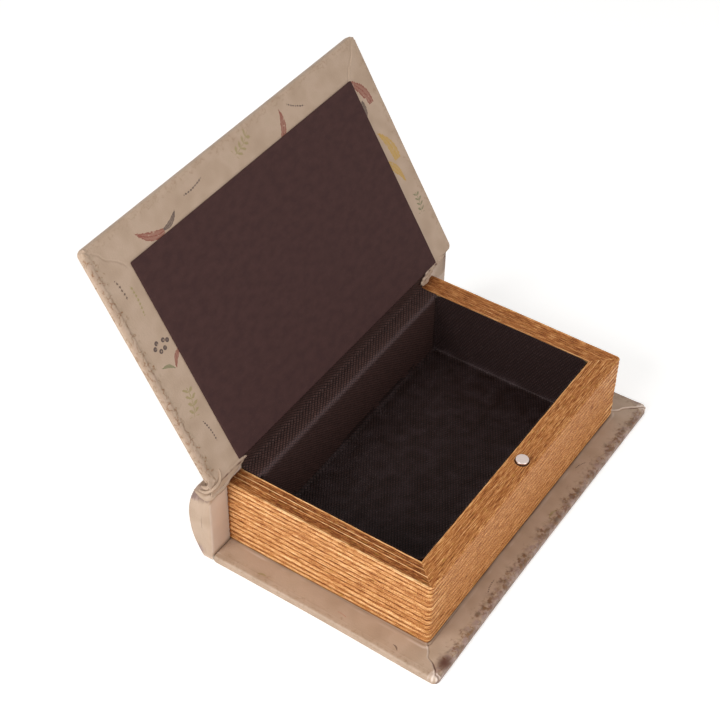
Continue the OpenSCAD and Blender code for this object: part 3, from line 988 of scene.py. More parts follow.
@dataclass(kw_only=True)
class RoundedSlab:
    """A flat slab with rounded edges and upright corners, its finer face up.

    The low and high corners are seen from above. bottom and top are its faces.
    """

    low: tuple[float, float]
    high: tuple[float, float]
    bottom: float
    top: float
    spine_r: float
    fore_r: float
    fold_r: float
    rims_x: tuple[float, float]
    rims_y: tuple[float, float]
    fine: float = 0.35
    coarse: float = 4.0
    fold_steps: int = 4

    def corner_middle(self, x: float, y: float) -> tuple[float, float]:
        """The nearest point of the area inside which no corner is round."""
        r = self.fore_r if x > (self.low[0] + self.high[0]) / 2 else self.spine_r
        return (
            clamp(x, self.low[0] + self.spine_r, self.high[0] - self.fore_r),
            clamp(y, self.low[1] + r, self.high[1] - r),
        )

    def outward(self, at: Vector) -> Vector:
        """The level direction out of the slab at a point near its edge."""
        cx, cy = self.corner_middle(at.x, at.y)
        return Vector((at.x - cx, at.y - cy, 0)).normalized()

    def inside(self, at: Vector) -> float:
        """How far a point lies inside the outline."""
        cx, cy = self.corner_middle(at.x, at.y)
        if cx != at.x and cy != at.y:
            r = self.fore_r if at.x > cx else self.spine_r
            return r - math.hypot(at.x - cx, at.y - cy)
        return min(
            at.x - self.low[0], self.high[0] - at.x, at.y - self.low[1], self.high[1] - at.y
        )

    def round_corners(self, verts: list) -> None:
        """Draws a grid's square corners in to round ones."""
        for v in verts:
            cx, cy = self.corner_middle(v.co.x, v.co.y)
            off = Vector((v.co.x - cx, v.co.y - cy, 0))
            if off.x and off.y:
                v.co = Vector((cx, cy, v.co.z)) + off.normalized() * max(abs(off.x), abs(off.y))

    def sheet(self, work: Workpiece, z: float, way: int) -> list:
        """Lays one face and rolls its edge over, up (1) or down (-1), and returns its rim."""
        r = self.fold_r
        xs = stations(self.low[0] + r, self.high[0] - r, self.rims_x, self.fine, self.coarse)
        ys = stations(self.low[1] + r, self.high[1] - r, self.rims_y, self.fine, self.coarse)
        verts = work.grid(xs, ys, z)
        self.round_corners(verts)
        edges = list({e for v in verts for e in v.link_edges if e.is_boundary})
        for k in range(self.fold_steps):
            a, b = (math.pi / 2 * i / self.fold_steps for i in (k, k + 1))
            out, rise = r * (math.sin(b) - math.sin(a)), r * (math.cos(a) - math.cos(b))
            edges = work.pull(edges, lambda at: self.outward(at) * out + UP * way * rise)
        return edges

    def shape(self, work: Workpiece) -> None:
        """Builds both faces with their rolled edges, and joins them."""
        rims = [self.sheet(work, z, way) for z, way in ((self.top, -1), (self.bottom, 1))]
        bmesh.ops.bridge_loops(work.bm, edges=sum(rims, []))
        work.settle()


@dataclass(kw_only=True)
class WrappedCover(RoundedSlab):
    """A board wrapped in printed leathercloth, with mitred and pleated corners.

    The covering turns in over the finer face: the tail and head turn-ins lie over the
    fore edge turn-in at the mitres.
    """

    spine_r: float = 1.4
    fore_r: float = 3.0
    fold_r: float = 1.0
    lap: float = 0.4
    gap: float = 0.9
    mitre_l: float = 27.0
    pleat: float = 0.32
    pleat_pitch: float = 2.1
    swell: float = 0.14
    rim_reach: float = 13.0
    rumpled: float = 0.0
    rumple_reach: float = 6.0
    splay: Vector = Vector((0, 0, 0))
    splay_reach: float = 45.0
    lump: float = 0.0
    frayed: tuple[float, float, float] = (0.3, 0.2, 0.35)
    soil: tuple[float, float, float] = (0.4, 0.4, 0.4)
    foot: tuple[float, float] | None = None
    sheet_at: float = 0.0
    printed: tuple[Printed, ...] = ()
    seed: float = 1.0

    def wrap(self, v: bmesh.types.BMVert, face: bmesh.types.BMFace) -> tuple[float, float]:
        """A vertex's place on the flat covering, which is unfolded from the outer face."""
        at, gaps = v.co, self.gaps(face.calc_center_median())
        side = gaps.index(min(gaps))
        along, height = at.x + self.sheet_at, at.z - self.bottom
        inner = height > (self.top - self.bottom) / 2
        s = height + self.gaps(at)[side] * (1 if inner else -1)
        if side == 2:
            return self.high[0] + s + self.sheet_at, at.y
        return along, self.high[1] + s if side else self.low[1] - s

    def along_rim(self, at: Vector) -> float:
        """Distance along the outline from the middle of the nearest fore edge corner."""
        tail, head, fore = self.gaps(at)
        over_x, over_y = self.fore_r - fore, self.fore_r - min(tail, head)
        quarter = math.pi / 4 * self.fore_r
        if over_x > 0 and over_y > 0:
            return (math.atan2(over_y, over_x) - math.pi / 4) * self.fore_r
        return quarter - over_x if over_x <= 0 < over_y else over_y - quarter

    def mitre(self, at: Vector) -> tuple[float, float]:
        """Distance along the nearest mitre, and off it towards the fore edge."""
        end = self.low[1] if at.y - self.low[1] < self.high[1] - at.y else self.high[1]
        dx, dy = self.high[0] - at.x, abs(at.y - end)
        along, off = (dx + dy) / math.sqrt(2), (dy - dx) / math.sqrt(2)
        wander = 0.55 * math.sin(0.5 * along + self.seed + end)
        wander += 0.5 * ripple(Vector((along, end, 0)), 3.0, self.seed)
        return along, off - wander * min(1.0, along / 5)

    def dress(self, work: Workpiece) -> None:
        """Swells the turn-ins, laps the mitres and pleats the corners, and fills the wear layer
        with rubbing, a bruise, painted highlight and painted shade and shadow.
        """
        for v in work.bm.verts:
            at = v.co.copy()
            d = max(0.0, self.inside(at))
            v[work.rim] = max(0.0, 1 - d / self.rim_reach) * self.nearest(at, self.soil)
            v[work.edge], v[work.frayed] = min(self.gaps(at)), self.nearest(at, self.frayed)
            upper = at.z > (self.top + self.bottom) / 2
            lift = self.swell * ripple(Vector((at.x, at.y, 0)), 17, self.seed)
            lift += 0.16 * bump(d - 2.4, 1.6) * (0.6 + ripple(at, 9, self.seed + 4))
            if not upper:
                v.co.z -= lift * 0.3
                continue
            rise, rubbed = self.corner(at, d)
            if self.rumpled and at.y - self.low[1] < self.rumple_reach:
                # The rumple also gives painted highlight and painted shade.
                torn, stain = self.rumple(at)
                rise += torn
                rubbed += stain
            if self.foot:
                rubbed += self.beside_pages(at)
            v.co.z += (lift + rise) * min(1.0, (at.z - self.bottom) / (self.top - self.bottom))
            v.co += self.outward(at) * rise * bump(d, 1.2)
            v[work.wear] = clamp(rubbed, -1.0)
        corner = Vector((self.high[0], self.low[1], 0))
        for v in work.bm.verts:
            v.co += self.splay * bump((v.co.xy - corner.xy).length, self.splay_reach)

    def nearest(self, at: Vector, values: tuple[float, float, float]) -> float:
        """The value of the edge nearest to a point, of those at the tail, head and fore edge."""
        gaps = self.gaps(at)
        return values[gaps.index(min(gaps))]

    def gaps(self, at: Vector) -> tuple[float, float, float]:
        """A point's distances from the edges at the tail, the head and the fore edge."""
        return at.y - self.low[1], self.high[1] - at.y, self.high[0] - at.x

    def beside_pages(self, at: Vector) -> float:
        """How much rubbing the cover has beside the page block, with a painted shadow line at its
        foot and painted shade where the cover meets the spine.
        """
        r = PAGES_CORNER_R
        dx, dy = (max(0.0, s + r) for s in (at.x - self.foot[0], abs(at.y) - self.foot[1]))
        off = math.hypot(dx, dy) - r
        if off <= 0:
            return 0.0
        # The dark terms are painted shadow at the page block's foot and painted shade along the
        # spine's edge.
        dark, width = (0.7, 0.5) if dx > r else (0.5, 0.4)
        dark *= 0.85 + 0.5 * ripple(at, 7, 33)
        pale = 0.45 * max(0.0, 0.5 + ripple(at, 6, 31))
        dark = dark * bump(off - 0.3, width) + bump(at.x - self.low[0], 0.5)
        return pale * bump(off - 1.6, 0.9) - dark

    def rumple(self, at: Vector) -> tuple[float, float]:
        """How high the worn tail edge is crumpled at a point, and its tone: a painted shadow line
        inside the crumpled ridge, painted highlight on the lumps, and darker along the edge.
        """
        d = max(0.0, at.y - self.low[1])
        along = Vector((at.x, 0, 0))
        line = 1.9 + 1.1 * ripple(along, 7, 20) + 0.4 * ripple(at, 2, 21)
        busy = 0.4 + 0.6 * clamp(0.5 + 1.4 * ripple(along, 22, 23))
        lump = max(0.0, ripple(at, 4.5, 22)) * bump(d - 1.5, 2.0)
        rise = self.rumpled * busy * (bump(d - line, 0.7) + 0.5 * lump)
        # Painted highlight on the lumps and a painted shadow line just inside the ridge; the last
        # term darkens the band along the edge.
        stain = busy * (0.15 * lump - 0.25 * bump(d - line - 0.5, 0.6))
        return rise, stain - 0.4 * bump(d, 2.5)

    def corner(self, at: Vector, d: float) -> tuple[float, float]:
        """How high the lap and the pleats stand at a point, and how much rubbing they have, with a
        painted shadow beside the lap's edge.
        """
        along, off = self.mitre(at)
        fade = clamp((along - 1.5) / 2) * clamp((self.mitre_l - along) / 3)
        over = clamp((0.12 - off) / 0.35)
        rise = fade * (self.lap * over * math.exp(min(0.0, off) / 4) - 0.2 * bump(off - 0.45, 0.3))
        # Painted shadow: the dark line beside the lapped edge of the mitre.
        dark = (0.45 + 0.6 * bump(along - 6, 5)) * bump(off - 0.4, 0.3)
        rubbed = fade * self.gap * (0.75 * bump(off + 0.25, 0.28) - dark)
        dx, dy = self.high[0] - at.x, at.y - self.low[1]
        rubbed -= self.lump * 1.3 * bump(dx - 2.5, 3.4) * bump(dy - 10.5, 5.5)
        turned = self.along_rim(at)
        fold = max(0.0, math.cos(2 * math.pi * turned / self.pleat_pitch + self.seed))
        share = bump(turned, 3.4) * math.exp(-d / 2.2)
        rise += self.pleat * fold * share
        knot = self.lump * bump(math.hypot(along - 4.2, off * 0.8), 1.7)
        rise += knot * (0.7 + 0.9 * ripple(at, 1.5, 12))
        return rise, rubbed + (0.4 + self.gap) * share * (0.25 + fold) + knot

    def build(
        self, finishes: Finishes, name: str, matrix: Matrix | None = None
    ) -> bpy.types.Object:
        """Makes the covered board and returns it."""
        work = Workpiece()
        self.shape(work)
        work.lay(self.wrap)
        outer = strewn(
            (self.low[0] + self.sheet_at, self.low[1]),
            (self.high[0] + self.sheet_at, self.high[1]),
            round(self.seed),
        )
        work.print_on([*outer, *self.printed])
        self.dress(work)
        return work.finish(name, finishes.covering, Slot.COVERING, matrix)


@dataclass
class RoundSpine:
    """The spine: a D-shaped section wrapped in the covering, closed at both ends."""

    face_x: float = SPINE_X
    tail_y: float = SPINE_TAIL_Y
    head_y: float = SPINE_HEAD_Y
    height: float = SPINE_H
    bulge: float = 13.5
    edge: float = 6.0
    edge_r: float = 1.8
    inner_r: float = 1.6
    end_r: float = 1.5
    end_steps: int = 5
    end_rings: tuple[tuple[float, float], ...] = (
        (0.9, 0.1), (0.8, 0.1), (0.7, 0.06), (0.6, 0.03), (0.5, 0.0),
    )
    rows: int = 20
    steps: int = 90
    sheet_from: float = -110
    sheet_to: float = 60
    ends_sheet_at: float = 300

    def section(self, work: Workpiece) -> list:
        """Draws the section, closed, and returns its edges."""
        half = self.height / 2
        sag = self.bulge - self.edge
        arc_r = (half**2 + sag**2) / (2 * sag)
        arc_x = arc_r - self.bulge
        small_x = arc_x - math.sqrt((arc_r - self.edge_r) ** 2 - (half - self.edge_r) ** 2)
        meet = math.degrees(math.atan2(half - self.edge_r, small_x - arc_x)) - 90
        pen = Pen(work, 0, self.inner_r)
        first = pen.tip
        rise = (self.height - 2 * self.inner_r) / self.rows
        for i in range(1, self.rows + 1):
            pen.to(0, self.inner_r + rise * i)
        pen.arc(-self.inner_r, self.height - self.inner_r, 90, 6)
        pen.to(small_x, self.height)
        pen.arc(small_x, self.height - self.edge_r, meet, 5)
        pen.arc(arc_x, half, 180 - 2 * meet, 40)
        pen.arc(small_x, self.edge_r, meet, 5)
        pen.to(-self.inner_r, 0)
        pen.arc(-self.inner_r, self.inner_r, 90, 6)
        work.bm.edges.ensure_lookup_table()
        bmesh.ops.pointmerge(work.bm, verts=[first, pen.tip], merge_co=first.co)
        return list(work.bm.edges)

    def build(self, finishes: Finishes) -> bpy.types.Object:
        """Makes the covered spine and returns it."""
        work = Workpiece()
        edges = self.section(work)
        length = self.head_y - self.tail_y - 2 * self.end_r
        last = work.run(edges, self.tail_y + self.end_r, length, self.steps)
        work.bm.transform(Matrix.Translation((self.face_x, 0, 0)))
        work.lay(lambda v, face: (self.sheet_from + v[work.across], v.co.y))
        work.print_on(strewn((self.sheet_from, self.tail_y), (self.sheet_to, self.head_y), 4))
        for rim in (edges, last):
            self.close_end(work, rim)
        work.face_out()
        self.dress(work)
        made = work.finish("spine_wrap", finishes.covering, Slot.COVERING)
        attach(made, Body.BOX.value)
        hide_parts("spine_covering")
        return made

    def close_end(self, work: Workpiece, rim: list) -> None:
        """Folds the covering over one end and leaves the end face a little full."""
        cap = bmesh.ops.contextual_create(work.bm, geom=rim)["faces"]
        side = -1 if cap[0].calc_center_median().y < 0 else 1
        if cap[0].normal.y * side < 0:
            bmesh.ops.reverse_faces(work.bm, faces=cap)
        work.bm.normal_update()
        turns = [math.pi / 2 * i / self.end_steps for i in range(self.end_steps + 1)]
        for a, b in zip(turns, turns[1:]):
            width = self.end_r * (math.cos(a) - math.cos(b))
            self.inset(work, cap, width, side * self.end_r * (math.sin(b) - math.sin(a)))
        for size, full in self.end_rings:
            self.inset(work, cap, 0.02, side * full)
            middle = cap[0].calc_center_median()
            for v in cap[0].verts:
                v.co.x = middle.x + (v.co.x - middle.x) * size
                v.co.z = middle.z + (v.co.z - middle.z) * size

    def inset(self, work: Workpiece, cap: list, width: float, out: float) -> None:
        """Insets the end face once, moves it out and maps it onto the flat sheet."""
        ring = bmesh.ops.inset_region(
            work.bm, faces=cap, thickness=width, depth=0.0, use_even_offset=True
        )["faces"]
        bmesh.ops.translate(work.bm, verts=cap[0].verts[:], vec=(0, out, 0))
        for f in [*ring, *cap]:
            for loop in f.loops:
                loop[work.sheet].uv = (loop.vert.co.z + self.ends_sheet_at, loop.vert.co.x)
                loop[work.print].uv = (0, 0)

    def dress(self, work: Workpiece) -> None:
        """Marks the worn edges, paints light on the inner face and shade at its foot and on the
        folds high at both ends, and lets the skin ripple.
        """
        for v in work.bm.verts:
            at = v.co
            end = min(at.y - self.tail_y, self.head_y - at.y)
            shade_z, reach, crumpled = (37, 4, 0.45) if at.y < 0 else (33.5, 10, 0.1)
            # Edge marks near the top and the bottom on the left, through the rim layer; on the end
            # faces they also paint mauve shade.
            rubbed = bump(at.z - self.height + 8, 4.5) + 0.8 * bump(at.z - 5, 6)
            left = clamp((self.face_x - 2 - at.x) / 5)
            patchy = 0.65 + 0.6 * bump(end, 1) + 0.5 * ripple(at, 30, 5.0)
            v[work.rim] = 0.1 + rubbed * patchy * left
            inner = bump(at.x - self.face_x, 0.7)
            # Painted shade of the cloth folds high up at both ends, on the end faces and on the
            # inner face.
            foot = shade_z + 0.35 * (at.x - self.face_x + 12) + 1.5 * ripple(at, 5, 9.0)
            painted_shade = clamp((at.z - foot) / 1.5)
            painted_shade *= bump(end, reach) * (1 + 0.5 * ripple(at, 6, 8.0))
            # The inner face is painted paler as painted light, with painted shade at its foot on
            # the back cover; the pale at the very bottom near both ends is rubbing.
            pale = inner * (0.52 - 1.2 * bump(at.z - BOARD_T, 0.5))
            pale += 0.6 * bump(at.z - 1, 1.4) * bump(end, 2)
            v[work.wear] = pale - min(1.0, painted_shade) * (pale + 0.6)
            ease = clamp(min(at.z, self.height - at.z) / 3)
            v.co += v.normal * 0.12 * ease * ripple(at, 12, 2.0)
            crumple = crumpled * bump(end, 3.0) * bump(at.z - self.height + 2, 6)
            v.co += v.normal * ease * crumple * abs(ripple(at, 3.2, 3.0))


# ---------------------------------------------------------------------------
# Page edges
# ---------------------------------------------------------------------------


@dataclass
class PageFacing:
    """The ribbed facing of one wall: a leg, a roll at the top edge and a flange.

    It is made along X from the middle of one corner, or from the spine, to the middle
    of the next, with its crests at Y 0 and the cavity at high Y. cut_start and cut_end
    are where its mitres meet the cavity. One that starts at the spine has no cut_start.
    """

    name: str
    length: float
    flange: float
    cut_end: float
    cut_start: float | None
    place: Matrix
    bottom: float = BOARD_T
    top: float = 43.9
    rib_h: float = 0.4
    card: float = 0.5
    nose_r: float = 1.0
    corner_r: float = PAGES_CORNER_R
    flange_from: float = 1.1
    pitch: float = 3.05
    band_pitch: float = 2.9
    step: float = 1.4
    sheet_t: float = 0.3
    seed: int = 7
    foot: float = 0.5
    start_at: float = 0.0
    line_w: float = 0.55
    valley: float = 0.4
    edge_tone: float = 0.95
    side_share: float = 1.0
    top_share: float = 1.0
    plain: float = 0.45
    rib_shares: tuple[float, ...] = (
        0.06, 0.13, 0.22, 0.32, 0.42, 0.5, 0.58, 0.68, 0.78, 0.87, 0.94, 1.0,
    )
    rib_heights: tuple[float, float] = (0.3, 0.42)
    notches: tuple[float, ...] = (0.35, 0.5, 0.62, 2.0)
    nose: tuple[tuple[float, float], ...] = (
        (0.42, 0.5), (0.22, 0.62), (0.06, 0.8), (0.0, 1.0), (0.02, 1.15),
        (0.12, 1.32), (0.34, 1.44), (0.66, 1.5), (1.0, 1.5),
    )
    grooves: tuple[tuple[float, float, float], ...] = (
        (1.2, 0.4, 0.3), (1.45, 1.0, 0.1), (1.8, 0.7, 0.6), (2.05, 1.0, 0.1),
    )
    line: tuple[tuple[float, float], ...] = ((0.3, 0.75), (0.5, 1.0), (0.7, 0.75), (1.0, 0.0))
    line_heights: tuple[float, float] = (0.14, 0.26)
    turn_steps: int = 10

    def rib(self, pen: Pen, width: float, height: float, notch: float) -> None:
        """Draws one rib: a hump with a dark foot on both sides and a fine line in it, its light top
        and dark feet in the crest layer partly painted highlight and shade.
        """
        z = pen.tip.co.z
        for share in self.rib_shares:
            hump = max(0.0, math.sin(math.pi * share))
            rise = height * (hump**0.7 - 0.35 * bump(share - notch, 0.07))
            crest = hump**0.9 - 0.5 * bump(share - notch, 0.08)
            crest = max(0.0, crest) * (0.75 + 0.25 * height / self.rib_h)
            pen.to(self.rib_h - rise, z + width * share, crest)

    def band(self, pen: Pen, width: float, height: float) -> None:
        """Draws one flat brown band of the flange and the thin bright line after it, which is
        partly a painted highlight.
        """
        y = pen.tip.co.y
        ground = self.top - self.rib_h
        ridge = self.line_w
        for i in range(1, 6):
            pen.to(y + (width - ridge) * i / 5, ground + 0.03 * (i % 2), 0.16 if i < 5 else 0.05)
        for share, rise in self.line:
            pen.to(y + width - ridge * (1 - share), ground + height * rise, 0.2 + 1.2 * rise)

    def widths(self, total: float, pitch: float, dice: random.Random) -> list[float]:
        """Splits a length into uneven ribs."""
        count = max(1, round(total / pitch))
        parts = [dice.uniform(0.75, 1.3) for _ in range(count)]
        return [total * p / sum(parts) for p in parts]

    def section(self, work: Workpiece) -> list:
        """Draws the section from the back cover up and over to the cavity."""
        dice = random.Random(self.seed)
        pen = Pen(work, self.rib_h, self.bottom)
        nose_z = self.top - 1.5 * self.nose_r
        leg = self.top - self.bottom - 1.5 * self.nose_r
        for width in self.widths(leg, self.pitch, dice):
            self.rib(pen, width, dice.uniform(*self.rib_heights), dice.choice(self.notches))
        # The nose's tone paints the top edge lighter, partly as a painted highlight.
        for y, z in self.nose:
            pen.to(y, nose_z + z * self.nose_r, self.edge_tone)
        for y, drop, tone in self.grooves:
            pen.to(y, self.top - self.valley * drop, tone)
        pen.to(self.corner_r, self.top - self.rib_h, 0.12)
        for width in self.widths(self.flange - self.corner_r, self.band_pitch, dice):
            self.band(pen, width, dice.uniform(*self.line_heights))
        pen.to(self.flange, self.top - self.rib_h - self.card, 0.9)
        return pen.edges

    def path(self, at: Vector) -> float:
        """Distance along the wall, carried on round the corners."""
        near = self.corner_r - at.y
        if at.x > self.length and near > 0:
            return self.length + math.atan2(at.x - self.length, near) * self.corner_r
        if at.x < 0 and near > 0:
            return -math.atan2(-at.x, near) * self.corner_r
        return at.x

    def build(self, finishes: Finishes, replaced: str) -> bpy.types.Object:
        """Makes the facing and returns it."""
        work = Workpiece()
        first = self.section(work)
        steps = round(self.length / self.step)
        last = work.sweep(first, Vector((self.length / steps, 0, 0)), steps)
        near, far = (
            [e for e in rim if max(v.co.y for v in e.verts) <= self.corner_r + 1e-4]
            for rim in (first, last)
        )
        work.turn(far, Vector((self.length, self.corner_r, 0)), math.pi / 2, self.turn_steps)
        if self.cut_start is not None:
            work.turn(near, Vector((0, self.corner_r, 0)), -math.pi / 2, self.turn_steps)
        work.settle()
        work.face_to(UP, lambda f: f.calc_center_median().z)
        self.roughen(work)
        work.lay(lambda v, face: (self.start_at + self.path(v.co), v[work.across]))
        self.mitre(work, self.length, self.cut_end)
        if self.cut_start is not None:
            self.mitre(work, 0.0, self.cut_start)
        work.thicken(self.sheet_t)
        made = work.finish(self.name, finishes.facing, Slot.FACING, self.place)
        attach(made, Body.BOX.value)
        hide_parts(replaced)
        return made

    def mitre(self, work: Workpiece, corner: float, cavity: float) -> None:
        """Cuts the run from the cavity's corner through the middle of the round one."""
        middle = Vector((corner, self.corner_r, 0))
        line = (Vector((cavity, self.flange, 0)) - middle).normalized()
        away = Vector((-line.y, line.x, 0))
        inside = Vector((self.length / 2, 0, 0)) - middle
        if away.dot(inside) > 0:
            away = -away
        work.cut(middle - away * 0.45, away, drop=False)
        work.cut(middle, away)
        for v in work.bm.verts:
            if abs((v.co - middle).dot(away)) < 0.01 and v.co.z > self.top - 1.2:
                light = 0.6 + 0.8 * ripple(v.co, 1.6, 40.0)
                v[work.crest] = max(v[work.crest], min(1.0, light))

    def roughen(self, work: Workpiece) -> None:
        """Lets the ribs swell, thin out and break along the run, and frays the inner edge."""
        from_spine = self.cut_start is None
        for v in work.bm.verts:
            u = self.path(v.co) + self.start_at
            across = v[work.across]
            swell = ripple(Vector((u, across * 4, self.seed)), 11, 1.0)
            nick = max(0.0, ripple(Vector((u, across * 2.2, 3.0)), 2.0, 5.0) - 0.3)
            start, end = u - self.start_at, self.length - u + self.start_at
            rough_end = bump(start, 0.7) * from_spine
            to_corner = end if from_spine else min(start, end)
            corner = bump(max(0.0, to_corner - 2), 7)
            keep = self.top_share if v.co.y > self.flange_from else self.side_share
            keep += (1 - keep) * corner * (v.co.y < self.flange_from)
            fading = ripple(Vector((u, across * 5, 8.0)), 24, 2.0)
            keep *= clamp(0.95 + 1.1 * fading, 0.35)
            bright = v[work.crest] * (1 + 0.35 * swell) - 0.9 * nick - 0.7 * rough_end
            bright = self.plain + (bright - self.plain) * keep
            v.co -= v.normal * 0.3 * (1 - keep) * max(0.0, min(0.7, v[work.crest]) - 0.2)
            v.co += v.normal * (0.06 * swell - 0.2 * nick)
            v[work.crest] = clamp(bright, high=1.4)
            v[work.rim] = float(v.co.y > self.flange_from)
            # Painted shadow along the foot of the facing, and a darker end near the spine on a
            # facing that starts there.
            v[work.wear] = -self.foot * bump(max(0.0, v.co.z - self.bottom - 0.4), 0.7)
            if from_spine:
                reach = 9.0 if v.co.y > self.flange_from else 1.8
                v[work.wear] -= 0.45 * bump(start, reach) * (0.7 + ripple(v.co, 3.0, 7.0))
            v[work.wear] = clamp(v[work.wear], -1.0, 0.0)
            if v.co.y > self.flange - 0.8:
                v.co.y -= 0.22 * (0.5 + 0.5 * ripple(Vector((u, 0, 0)), 2.0, 9.0))
                v[work.crest] = self.plain + (0.85 - self.plain) * self.top_share**0.5


# ---------------------------------------------------------------------------
# Lining, liner, hinge and catch
# ---------------------------------------------------------------------------


@dataclass
class TrayLining:
    """The lining of the floor and of three walls, with soft corners and coves."""

    low: tuple[float, float] = (-45.8, -78.6)
    high: tuple[float, float] = (43.5, 78.4)
    floor: float = 5.8
    top: float = 43.5
    lining_t: float = 0.6
    cove_r: float = 1.8
    corner_r: float = 1.2
    sheet_t: float = 0.35
    spine_top: float = 9.0
    rows: int = 14

    def build(self, finishes: Finishes) -> bpy.types.Object:
        """Makes the lining and returns it."""
        work = Workpiece()
        t = self.lining_t
        slab = RoundedSlab(
            low=(self.low[0] + t, self.low[1] + t),
            high=(self.high[0] - t, self.high[1] - t),
            bottom=self.floor,
            top=self.floor,
            spine_r=self.cove_r + 0.1,
            fore_r=self.corner_r + self.cove_r,
            fold_r=self.cove_r,
            rims_x=(2.0, 2.0),
            rims_y=(2.0, 2.0),
            fine=0.4,
            coarse=3.0,
            fold_steps=5,
        )
        edges = slab.sheet(work, self.floor, 1)
        rise = (self.top - self.floor - self.cove_r) / self.rows
        for _ in range(self.rows):
            edges = work.pull(edges, lambda at: UP * rise)
        work.settle()
        hidden = [
            f
            for f in work.bm.faces
            if f.calc_center_median().z > self.spine_top
            and f.calc_center_median().x < self.low[0] + self.lining_t + 0.2
        ]
        bmesh.ops.delete(work.bm, geom=hidden, context="FACES")
        work.face_to(UP, lambda f: f.calc_area())
        work.bm.normal_update()
        work.lay(self.unfold)
        for v in work.bm.verts:
            v.co += v.normal * 0.14 * ripple(v.co, 14, 6.0)
            # Painted light through the crest layer: a broken band of painted highlight along the
            # foot of the walls, and the head wall painted lighter.
            band = max(0.0, 0.4 + 1.2 * ripple(v.co, 5, 8.0)) * bump(v.co.z - self.floor - 1, 1.8)
            v[work.crest] = 0.6 * band + (0.3 if v.co.y > self.high[1] - 1.2 else 0.0)
        work.thicken(self.sheet_t)
        made = work.finish("tray_lining", finishes.lining, Slot.LINING)
        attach(made, Body.BOX.value)
        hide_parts("floor_lining", "tail_lining", "head_lining", "fore_edge_lining")
        return made

    def unfold(self, v: bmesh.types.BMVert, face: bmesh.types.BMFace) -> tuple[float, float]:
        """A vertex's place on the flat lining."""
        n, at = face.normal, v.co
        if abs(n.z) > 0.7:
            return at.x, at.y
        return (at.x, at.z) if abs(n.y) > abs(n.x) else (at.z, at.y)


@dataclass
class ClothHinge:
    """The lining that runs up the spine side wall and on to the lid."""

    inner_tail_y: float = -78.6
    inner_head_y: float = 78.4
    wall_x: float = -45.2
    ridge_r: float = 2.2
    cove_r: float = 1.3
    flat_z: float = 43.6
    rise_x: float = -55.25
    floor_z: float = 7.2
    lining_t: float = 0.4
    step: float = 1.6
    wall_rows: int = 18
    flat_rows: int = 6
    sag: float = 0.12
    ease_top: float = 50.5
    rise: tuple[tuple[float, float], ...] = (
        (-55.33, 46.6), (-55.3, 48.0), (-55.22, 49.3),
        (-55.1, 50.5), (-54.95, 51.4), (-54.86, 52.1),
    )

    def lining(self, finishes: Finishes) -> bpy.types.Object:
        """Makes the strip of lining from the cavity's floor to the lid's liner."""
        work = Workpiece()
        pen = Pen(work, self.wall_x, self.floor_z)
        wall_h = self.flat_z - self.ridge_r - self.floor_z
        for i in range(1, self.wall_rows + 1):
            pen.to(self.wall_x, self.floor_z + wall_h * i / self.wall_rows)
        pen.arc(self.wall_x - self.ridge_r, self.flat_z - self.ridge_r, 90, 7)
        left = self.rise_x + self.cove_r
        start = pen.tip.co.y
        for share in (i / self.flat_rows for i in range(1, self.flat_rows + 1)):
            drop = self.sag * math.sin(math.pi * share)
            pen.to(start + (left - start) * share, self.flat_z - drop)
        pen.arc(left, self.flat_z + self.cove_r, -90, 5)
        for x, z in self.rise:
            pen.to(x, z)
        run = self.inner_head_y - self.inner_tail_y - 0.4
        work.run(pen.edges, self.inner_tail_y + 0.2, run, round(run / self.step))
        work.settle()
        work.lay(lambda v, face: (v[work.across], v.co.y))
        ridge = self.flat_z - self.floor_z - self.ridge_r + self.ridge_r * math.pi / 4
        for v in work.bm.verts:
            at = v.co.copy()
            ease = clamp((self.ease_top - at.z) / 2)
            v.co += v.normal * 0.1 * ease * ripple(at, 9, 3.0)
            # Painted highlight along the ridge at the top of the wall, through the crest layer.
            v[work.crest] = 0.9 * bump(v[work.across] - ridge, 1.3)
        work.face_to(Vector((1, 0, 0)), lambda f: f.calc_center_median().x)
        work.bm.normal_update()
        work.thicken(self.lining_t)
        made = work.finish("hinge_lining_sheet", finishes.hinge_lining, Slot.LINING)
        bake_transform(made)
        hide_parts("hinge_lining", "spine_side_lining")
        return made


@dataclass(frozen=True)
class Roll:
    """A rolled fold of cloth: its path, and how thick it is at each point."""

    path: tuple[tuple[float, float, float], ...]
    radii: tuple[float, ...]


